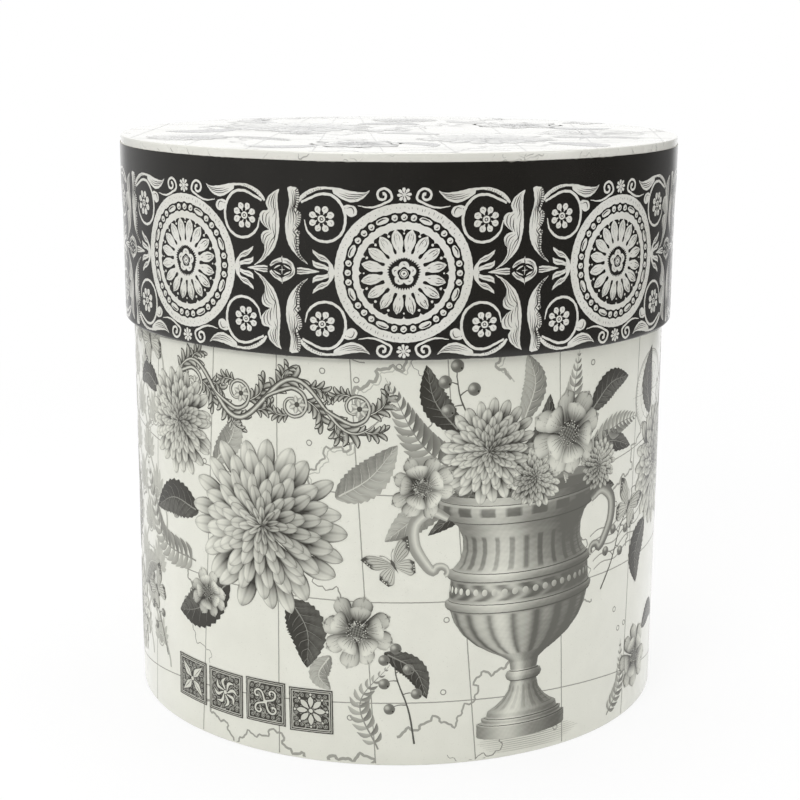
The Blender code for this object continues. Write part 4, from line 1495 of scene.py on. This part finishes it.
bodyPrint = {
    "lifts": {"printChart": 0.015, "printLattice": 0.03, "printScrolls": 0.045, "printLeaves": 0.06,
              "printUrn": 0.08, "printBlooms": 0.10, "printFlowers": 0.15, "printTiles": 0.17},
    "rough": 0.03, "margins": (1.0, 0.9),  # at the foot and under the rim
    "compass": (16, (112, 116)), "waves": [(5, 34, (74, 60), 0.2), (4, 30, (-40, 142), -0.15)],
    "lattice": (3, 6, (16.0, 27.0)), "latticeAt": (-150, 18),
    "scrolls": [((-86, 125), -0.05, 1.12), ((62, 186), math.pi + 0.06, 1.0)], "urnAt": (44, 9),
    "blooms": [  # place, size against a full bloom or an open one, seed
        ((-46, 80), "full", 1.0, 3), ((-84, 110), "full", 0.62, 4), ((30, 107), "full", 0.58, 5),
        ((60, 110), "open", 1.0, 6), ((-13, 47), "open", 0.85, 7), ((121, 88), "full", 0.76, 8),
        ((84, 172), "full", 0.66, 9), ((-30, 174), "full", 0.55, 10),
        ((-122, 168), "open", 1.1, 11), ((8, 96), "open", 0.72, 12), ((104, 20), "open", 0.8, 13),
        ((-132, 30), "full", 0.6, 14), ((47, 97), "full", 0.36, 15), ((75, 97), "full", 0.3, 16),
        ((-70, 52), "open", 0.6, 17)],
    "leaves": [  # midrib, half-width, pale or dark
        ([(-60, 58), (-74, 46), (-86, 42)], 8.0, 0), ([(-36, 56), (-30, 46), (-30, 33)], 7.5, 0),
        ([(-20, 92), (-9, 99), (0, 110)], 6.5, 1), ([(-74, 80), (-88, 82), (-101, 76)], 7.0, 0),
        ([(-66, 98), (-58, 108), (-56, 116)], 5.0, 1),
        ([(-98, 118), (-108, 122), (-116, 118)], 5.0, 0),
        ([(20, 114), (12, 124), (9, 136)], 5.0, 0), ([(42, 116), (46, 128), (43, 138)], 4.8, 1),
        ([(70, 116), (80, 124), (91, 125)], 5.2, 0), ([(66, 100), (80, 104), (94, 100)], 5.0, 0),
        ([(20, 96), (6, 86), (-4, 78)], 5.5, 1), ([(-4, 40), (6, 34), (10, 24)], 4.2, 0),
        ([(-22, 38), (-26, 31), (-22, 26)], 3.8, 1), ([(110, 70), (102, 60), (103, 48)], 6.5, 0),
        ([(136, 76), (144, 66), (143, 54)], 6.0, 1), ([(112, 108), (108, 120), (112, 132)], 5.5, 0),
        ([(96, 156), (104, 148), (116, 146)], 5.8, 0), ([(70, 158), (62, 150), (50, 150)], 5.4, 1),
        ([(-42, 162), (-50, 154), (-60, 154)], 4.8, 0), ([(-20, 186), (-10, 191), (2, 188)], 4.6, 0),
        ([(112, 28), (122, 32), (130, 28)], 4.4, 0), ([(-120, 42), (-112, 52), (-100, 54)], 5.0, 1),
        ([(26, 97), (20, 88), (10, 80)], 3.6, 0), ([(56, 97), (62, 106), (72, 110)], 4.4, 0),
        ([(38, 98), (34, 90), (37, 82)], 3.4, 0), ([(58, 97), (60, 90), (56, 83)], 3.0, 1),
        ([(68, 97), (76, 90), (84, 88)], 3.6, 0), ([(40, 100), (50, 112), (52, 124)], 4.4, 0)],
    "ferns": [  # stem, leaflet length, pairs, tone
        ([(26, 96), (8, 110), (-4, 132)], 8.0, 17, 0.34),
        ([(66, 96), (82, 108), (100, 110)], 6.5, 15, 0.36),
        ([(-76, 62), (-98, 66), (-112, 92)], 7.5, 16, 0.40),
        ([(-6, 6), (-12, 22), (-2, 36)], 5.0, 12, 0.42),
        ([(130, 100), (138, 118), (132, 138)], 7.0, 15, 0.38),
        ([(20, 150), (34, 166), (30, 190)], 7.5, 17, 0.36),
        ([(-140, 50), (-128, 70), (-136, 100)], 7.0, 16, 0.40),
        ([(84, 4), (92, 14), (92, 30)], 4.6, 11, 0.38),
        ([(-80, 150), (-92, 168), (-84, 190)], 7.0, 16, 0.36),
        ([(48, 98), (60, 118), (64, 138)], 6.5, 15, 0.4)],
    "sprigs": [  # place, turn, size
        ((6, 8), 0.25, 1.0), ((78, 52), -0.5, 0.9), ((-96, 22), 0.5, 0.85), ((136, 148), 0.2, 1.0),
        ((30, 98), 0.35, 1.15)],
    "sprig": ([(0, 0), (1, 12), (0, 24), (1, 31)],  # stem, berries, their size and tone
              [(-5, 14, 0.4), (5, 17, 0.5), (-4.5, 23, 0.65), (4.5, 26, 0.75), (-2.5, 31, 0.9),
               (2.2, 34, 1.0)], 1.9, 0.12),
    "moths": [((-104, 134), 0.35, 9.0), ((94, 78), -0.5, 8.0), ((-104, 44), 0.7, 7.0),
              ((0, 170), -0.3, 9.0), ((112, 186), 0.5, 7.5), ((-1, 70), 0.5, 7.0)],
    "tileSize": 15.4, "tileLean": 0.012,
    "tiles": [(-79.5, 18.4), (-62.6, 18.0), (-45.7, 18.4), (-28.8, 17.9)],
}
topPrint = {
    "lifts": {"topChart": 0.0, "topLeaves": 0.02, "topBlooms": 0.035}, "margin": 1.0,
    "chartWidth": 200, "compass": (20, (70, -2)), "scroll": ((-28, -14), 2.3, 0.8),
    "blooms": [((-38, 26), "full", 0.95, 21), ((30, -34), "full", 0.8, 22),
               ((46, 42), "open", 1.2, 23), ((-14, -62), "open", 1.1, 24),
               ((-72, -34), "full", 0.5, 25), ((2, 72), "full", 0.45, 26)],
    "leaves": [([(-60, 10), (-72, -2), (-84, -4)], 7.5, 0), ([(-16, 44), (-2, 50), (8, 44)], 7.0, 0),
               ([(50, -50), (62, -60), (66, -70)], 7.0, 0), ([(14, -14), (4, -6), (-8, -8)], 6.5, 1),
               ([(56, 28), (68, 22), (80, 24)], 6.0, 0), ([(34, 54), (24, 62), (22, 74)], 5.5, 1),
               ([(-26, -70), (-38, -76), (-50, -72)], 5.5, 0),
               ([(-2, -54), (8, -60), (12, -72)], 5.0, 0)],
    "ferns": [([(-50, 46), (-58, 62), (-52, 78)], 8.0, 16, 0.36),
              ([(52, -24), (70, -22), (86, -30)], 7.5, 16, 0.38),
              ([(-60, -28), (-44, -38), (-36, -50)], 6.0, 13, 0.42)],
    "moths": [((-6, 8), 0.5, 9), ((72, 58), -0.7, 7.5)],
}


def plant(bed, hand, leafInk, fullInk, openInk):
    # A bed's leaves, lit on alternate halves, and its ferns, blooms and moths. Each bloom is turned
    # by its seed, so that no two lie alike.
    for k, (path, half, pale) in enumerate(bed["leaves"]):
        look = dict(paleLeaf if pale else leafLook, turned=hand if k % 2 else -hand)
        stamp(leafInk, leaf(path, half, look))
    for path, reach, pairs, tone in bed["ferns"]:
        stamp(leafInk, fern(path, reach, pairs, tone))
    for at, kind, size, seed in bed["blooms"]:
        look, ink = (fullBloom, fullInk) if kind == "full" else (openBloom, openInk)
        stamp(ink, bloom(look, seed, size), at, 0.3 * seed, size)
    for at, turn, size in bed["moths"]:
        stamp(openInk, butterfly(size), at, turn)


def drawPrint():
    # One half turn of the box's print, tiled twice round it; deeper pieces first.
    bed, width = bodyPrint, math.pi * bodyRadius
    tiling = dict(once, count=2, pitch=width)
    inks = {name: newInk() for name in bed["lifts"]}
    radius, at = bed["compass"]
    stamp(inks["printChart"], chart(width, bodyTop))
    stamp(inks["printChart"], compassStar(radius), at)
    for count, length, at, turn in bed["waves"]:
        stamp(inks["printChart"], waves(count, length), at, turn)
    stamp(inks["printLattice"], lattice(*bed["lattice"]), bed["latticeAt"])
    for at, turn, size in bed["scrolls"]:
        stamp(inks["printScrolls"], tendrils(), at, turn, size)
    plant(bed, 1, inks["printLeaves"], inks["printBlooms"], inks["printFlowers"])
    sprig = berries(*bed["sprig"])
    for at, turn, size in bed["sprigs"]:
        stamp(inks["printLeaves"], sprig, at, turn, size)
    stamp(inks["printUrn"], urn(), bed["urnAt"])
    for k, at in enumerate(bed["tiles"]):
        stamp(inks["printTiles"], tile(k, bed["tileSize"]), at, bed["tileLean"] * (k - 1.5))
    low, high = bed["margins"][0], bodyTop - bed["margins"][1]
    for name, lift in bed["lifts"].items():
        roughen(inks[name], bed["rough"])
        inkPiece(name, inks[name], onBody, "box", finishes["print"], tiling, lift,
                 lambda x, y: (x, np.clip(y, low, high)))


drawPrint()
print("body print drawn")


def inDisc(x, y):
    # Points past the top's edge are drawn in to it along their radius.
    share = np.minimum(1, (edgeRadius - topPrint["margin"]) / np.maximum(np.hypot(x, y), 1e-6))
    return x * share, y * share


def drawTop():
    # The lid's top has the same garden print, seen almost edge on in front view, in a paler ink:
    # painted sheen, standing in for the reflection that washes the top's print out at that angle.
    bed = topPrint
    inks = {name: newInk() for name in bed["lifts"]}
    radius, at = bed["compass"]
    width = bed["chartWidth"]
    stamp(inks["topChart"], chart(width, width), (0, -width / 2))
    stamp(inks["topChart"], compassStar(radius), at)
    stamp(inks["topChart"], tendrils(), *bed["scroll"])
    plant(bed, -1, inks["topLeaves"], inks["topBlooms"], inks["topBlooms"])
    for name, lift in bed["lifts"].items():
        inkPiece(name, inks[name], onTop, "lid", finishes["lidPrintPaledForSheen"], once,
                 lift - topDrop, inDisc)


stripLook = {"lines": 150, "height": (0.05, 2.1), "lift": 0.012, "up": (-0.6, 2.6), "lean": 0.9,
             "length": (2, 9), "wiggle": 1.1, "half": (0.1, 0.22), "tone": (0.45, 0.8)}


def drawStrip():
    # Short wandering lines round the pale strip over the band, cut off at its edges.
    look, strip = stripLook, newInk()
    draw = np.random.default_rng(8)
    for k in range(look["lines"]):
        start = (draw.uniform(0, fullTurn * edgeRadius), draw.uniform(*look["up"]))
        line = wander(start, draw.normal(0, look["lean"]), draw.uniform(*look["length"]),
                      look["wiggle"], 100 + k)
        half = [0.03, draw.uniform(*look["half"]), 0.05]
        stamp(strip, [(stroke(line, half), draw.uniform(*look["tone"]), 0)])
    inkPiece("stripPrint", strip, onStrip, "lid", finishes["lidPrintPaledForSheen"], once,
             look["lift"], lambda x, y: (x, np.clip(y, *look["height"])))


drawTop()
drawStrip()
print("lid top print drawn")


# The lid's top paper, and the linings

topSheet = {"columns": 432, "hub": 6.0, "under": 0.02, "bend": 0.65, "spacing": 6.0, "flare": 0.3}
topUp = lidTop - topDrop - topSheet["under"]
topPath = foldedPath([(topSheet["hub"], topUp), (edgeRadius, topUp), (edgeRadius, tabEnd)],
                     topSheet["bend"], topSheet["spacing"])


def lidTopSheet():
    # The top paper: a disc whose edge is folded down over the rim, angle by distance out. Its map
    # is the same disc, with the turned-down edge spread out as a rim round it.
    columns = topSheet["columns"]
    turn = np.linspace(0, fullTurn, columns + 1)[:-1]
    path = np.vstack([[0.0, topPath[0, 1]], topPath])
    points = aboutAxis(path[:, 0], turn[:, None], path[:, 1])
    index = np.arange(columns * len(path)).reshape(columns, -1)
    index[:, 0] = index[0, 0]
    wrapped = np.vstack([index, index[:1]])
    quads = gridQuads(wrapped[:, 1:]).reshape(-1, 4)
    quads = np.vstack([quads, hubCap(index[0, 0], index[:, 1])])
    used, quads = np.unique(quads, return_inverse=True)
    quads = quads.reshape(-1, 4)
    points = points.reshape(-1, 3)[used]
    flare = topSheet["flare"]
    down = (lidTop - points[:, 2]) / (lidTop - tabEnd)
    spread = np.hypot(points[:, 0], points[:, 1]) * (1 + flare * down) / edgeRadius / (1 + flare)
    turnOf = np.arctan2(points[:, 1], points[:, 0])
    maps = np.stack([np.cos(turnOf), np.sin(turnOf)], 1) * spread[:, None] / 2 + 0.5
    piece = meshPiece("lidTopPaper", points * mm, quads, "lid",
                      [finishes["lidIvory"], finishes["core"]], maps)
    addThickness(piece, paperThick)
    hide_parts("lid_top_paper")


lidTopSheet()

stepUp = 15.3  # under the wall's top, where the lining steps in over the wrap's turn-in
stepRun = 1.5
liningOuter = liningRadius - sheetThick
liningInner = liningOuter - (sheetThick + glue)
bodyLiningLook = dict(
    node="body_lining", body="box", slot="lining_paper", finish="lining",
    corners=[(liningOuter, liningBottom), (liningOuter, wallTop - stepUp - stepRun),
             (liningInner, wallTop - stepUp), (liningInner, liningTop)],
    bend=0.4, spacing=8.0, seam=math.radians(200), columns=240, butt=0.8, paper=paperThick)
rimLiningLook = dict(
    bodyLiningLook, node="rim_lining", body="lid", seam=math.radians(165),
    corners=[(bandInner, rimLiningBottom), (bandInner, (rimLiningBottom + rimLiningTop) / 2),
             (bandInner, rimLiningTop)])
paperSheet("bodyLiningPaper", bodyLiningLook)
paperSheet("rimLiningPaper", rimLiningLook)

floorLiningLook = dict(
    node="floor_lining", body="box", slot="lining_paper", finish="lining", radius=floorRadius,
    up=floorTop, paper=paperThick, facing=1, columns=240, rows=14)
lidLiningLook = dict(floorLiningLook, node="lid_lining", body="lid", radius=lidLiningRadius,
                     up=lidLiningBottom, facing=-1)
basePaperLook = dict(floorLiningLook, node="base_paper", slot="plain_paper", finish="plain",
                     radius=basePaperRadius, up=basePaperBottom + 0.02, paper=0.16, facing=-1)
roundSheet("floorLiningPaper", floorLiningLook)
roundSheet("lidLiningPaper", lidLiningLook)
roundSheet("basePaperSheet", basePaperLook)
print("linings laid")


# Floor, light and camera

# The fill's levels, where along y they start and end, its lean, and the floor's radius and looks
studio = {"front": 0.30, "back": 0.92, "frontTo": -0.85, "backFrom": 0.15, "lean": 0.12,
          "floor": 0.7, "floorShare": 0.84, "shadow": 0.25}
mirrored = [(0.0, 0.26), (0.09, 0.44), (0.25, 0.48), (0.40, 0.52), (0.45, 1.0), (0.55, 1.0),
            (0.60, 0.24), (0.75, 0.13), (0.94, 0.14), (1.0, 0.26)]  # share of a turn, level
lamps = {  # place, the point that it shines at, width and power
    "keyLamp": ((-0.55, -1.1, 0.95), (0, 0, 0.1), 0.7, 7.5),
    "topLamp": ((0.0, 0.1, 1.3), (0, 0, 0.2), 0.8, 4.2),
    "sideLamp": ((1.1, -0.6, 0.5), (0, 0, 0.1), 0.6, 2.2),
}
white = (1, 1, 1, 1)
matt = {"Base Color": (0.93, 0.93, 0.93, 1), "Roughness": 0.9}


def stageMaterial():
    # White to the camera and to reflections, less a share of plain matt white that keeps the
    # object's shadow. The share fades to nothing towards the floor's edge.
    material = bpy.data.materials.new("paleFloor")
    material.use_nodes = True
    tree = material.node_tree
    shader = tree.nodes["Principled BSDF"]
    feed(tree, shader, matt)
    light = addNode(tree, "ShaderNodeEmission", {"Color": white, "Strength": 1.0})
    rays = addNode(tree, "ShaderNodeLightPath")
    place = addNode(tree, "ShaderNodeTexCoord").outputs["Object"]
    far = addNode(tree, "ShaderNodeVectorMath", {0: place}, operation="LENGTH")
    share = mapRange(tree, far.outputs["Value"], studio["shadow"], studio["floor"] * 0.95,
                     studio["floorShare"])
    shown = rays.outputs["Is Camera Ray"]
    for kind in ("Is Glossy Ray", "Is Transmission Ray"):
        shown = mathNode(tree, "MAXIMUM", shown, rays.outputs[kind])
    mix = addNode(tree, "ShaderNodeMixShader", {
        0: mathNode(tree, "MULTIPLY", shown, share), 1: shader.outputs[0], 2: light.outputs[0]})
    feed(tree, tree.nodes["Material Output"], {"Surface": mix.outputs[0]})
    return material


def buildWorld():
    # White to the camera. Reflections see that white behind the object and a dimmer room round the
    # rest of the compass; all other light is a plain fill, level by how far back it comes from.
    world = bpy.data.worlds.new("studio")
    scene.world = world
    world.use_nodes = True
    tree = world.node_tree
    rays = addNode(tree, "ShaderNodeLightPath")
    way = addNode(tree, "ShaderNodeTexCoord").outputs["Generated"]
    split = addNode(tree, "ShaderNodeSeparateXYZ", {0: way})
    x, y = split.outputs["X"], split.outputs["Y"]
    level = mapRange(tree, y, studio["frontTo"], studio["backFrom"], studio["front"],
                     studio["back"], interpolation_type="SMOOTHSTEP")
    fill = mathNode(tree, "MULTIPLY_ADD", x, -studio["lean"], level)
    compass = mathNode(tree, "ARCTAN2", x, y)
    compass = mathNode(tree, "MULTIPLY_ADD", compass, 1 / fullTurn, 0.5)
    ramp = addNode(tree, "ShaderNodeValToRGB", {0: compass})
    ramp.color_ramp.interpolation = "EASE"
    while len(ramp.color_ramp.elements) < len(mirrored):
        ramp.color_ramp.elements.new(0.5)
    for stop, (share, value) in zip(ramp.color_ramp.elements, mirrored):
        stop.position = share
        stop.color = (value, value, value, 1)
    glossy = mathNode(tree, "MAXIMUM", rays.outputs["Is Glossy Ray"],
                      rays.outputs["Is Transmission Ray"])
    seen = addNode(tree, "ShaderNodeMix", {0: glossy, 2: fill, 3: ramp.outputs["Color"]},
                   data_type="FLOAT")
    shown = addNode(tree, "ShaderNodeMix", {0: rays.outputs["Is Camera Ray"], 2: seen.outputs[0],
                                            3: 1.0}, data_type="FLOAT")
    feed(tree, tree.nodes["Background"], {"Strength": shown.outputs[0], "Color": white})


def buildStage():
    # A round floor, a fan of rings, so that no far edge of it reflects in the lid's side.
    turn = np.linspace(0, fullTurn, 97)[:-1]
    radii = studio["floor"] * np.linspace(0, 1, 6)[1:]
    points = np.vstack([[[0, 0, 0]], aboutAxis(radii[:, None], turn, 0.0).reshape(-1, 3)])
    index = 1 + np.arange(radii.size * turn.size).reshape(radii.size, -1)
    beside = np.roll(index, -1, 1)
    faces = [(0, int(a), int(b)) for a, b in zip(index[0], beside[0])]
    quads = np.stack([index[:-1], index[1:], beside[1:], beside[:-1]], -1).reshape(-1, 4)
    mesh = bpy.data.meshes.new("floor")
    mesh.from_pydata(points.tolist(), [], faces + quads.tolist())
    mesh.materials.append(stageMaterial())
    floor = addThing("floor", mesh)


def areaLamp(name, place, target, size, power):
    # A round lamp turned so that it shines at a point, level with the horizon.
    lamp = bpy.data.lights.new(name, "AREA")
    lamp.shape, lamp.size, lamp.energy = "DISK", size, power
    thing = addThing(name, lamp)
    thing.location = place
    dx, dy, dz = (t - p for t, p in zip(target, thing.location))
    thing.rotation_euler = (math.atan2(math.hypot(dx, dy), -dz), 0, math.atan2(-dx, dy))


buildStage()
buildWorld()
for name, settings in lamps.items():
    areaLamp(name, *settings)

# Metres and degrees; the focal length is in pixels of the frame
view = {"distance": 0.618, "height": 0.2424, "pitch": 12.70, "roll": 0.275, "shift": 0.00279,
        "focalPixels": 1690, "framePixels": 800, "sensor": 36}
camera = bpy.data.cameras.new("camera")
camera.lens = view["focalPixels"] / view["framePixels"] * view["sensor"]
camera.sensor_width, camera.shift_x = view["sensor"], view["shift"]
cameraThing = addThing("camera", camera)
cameraThing.location = (0, -view["distance"], view["height"])
pitched = Matrix.Rotation(math.radians(90 - view["pitch"]), 3, "X")
rolled = Matrix.Rotation(math.radians(view["roll"]), 3, "Z")
cameraThing.rotation_euler = (pitched @ rolled).to_euler()
scene.camera = cameraThing
print("stage set")
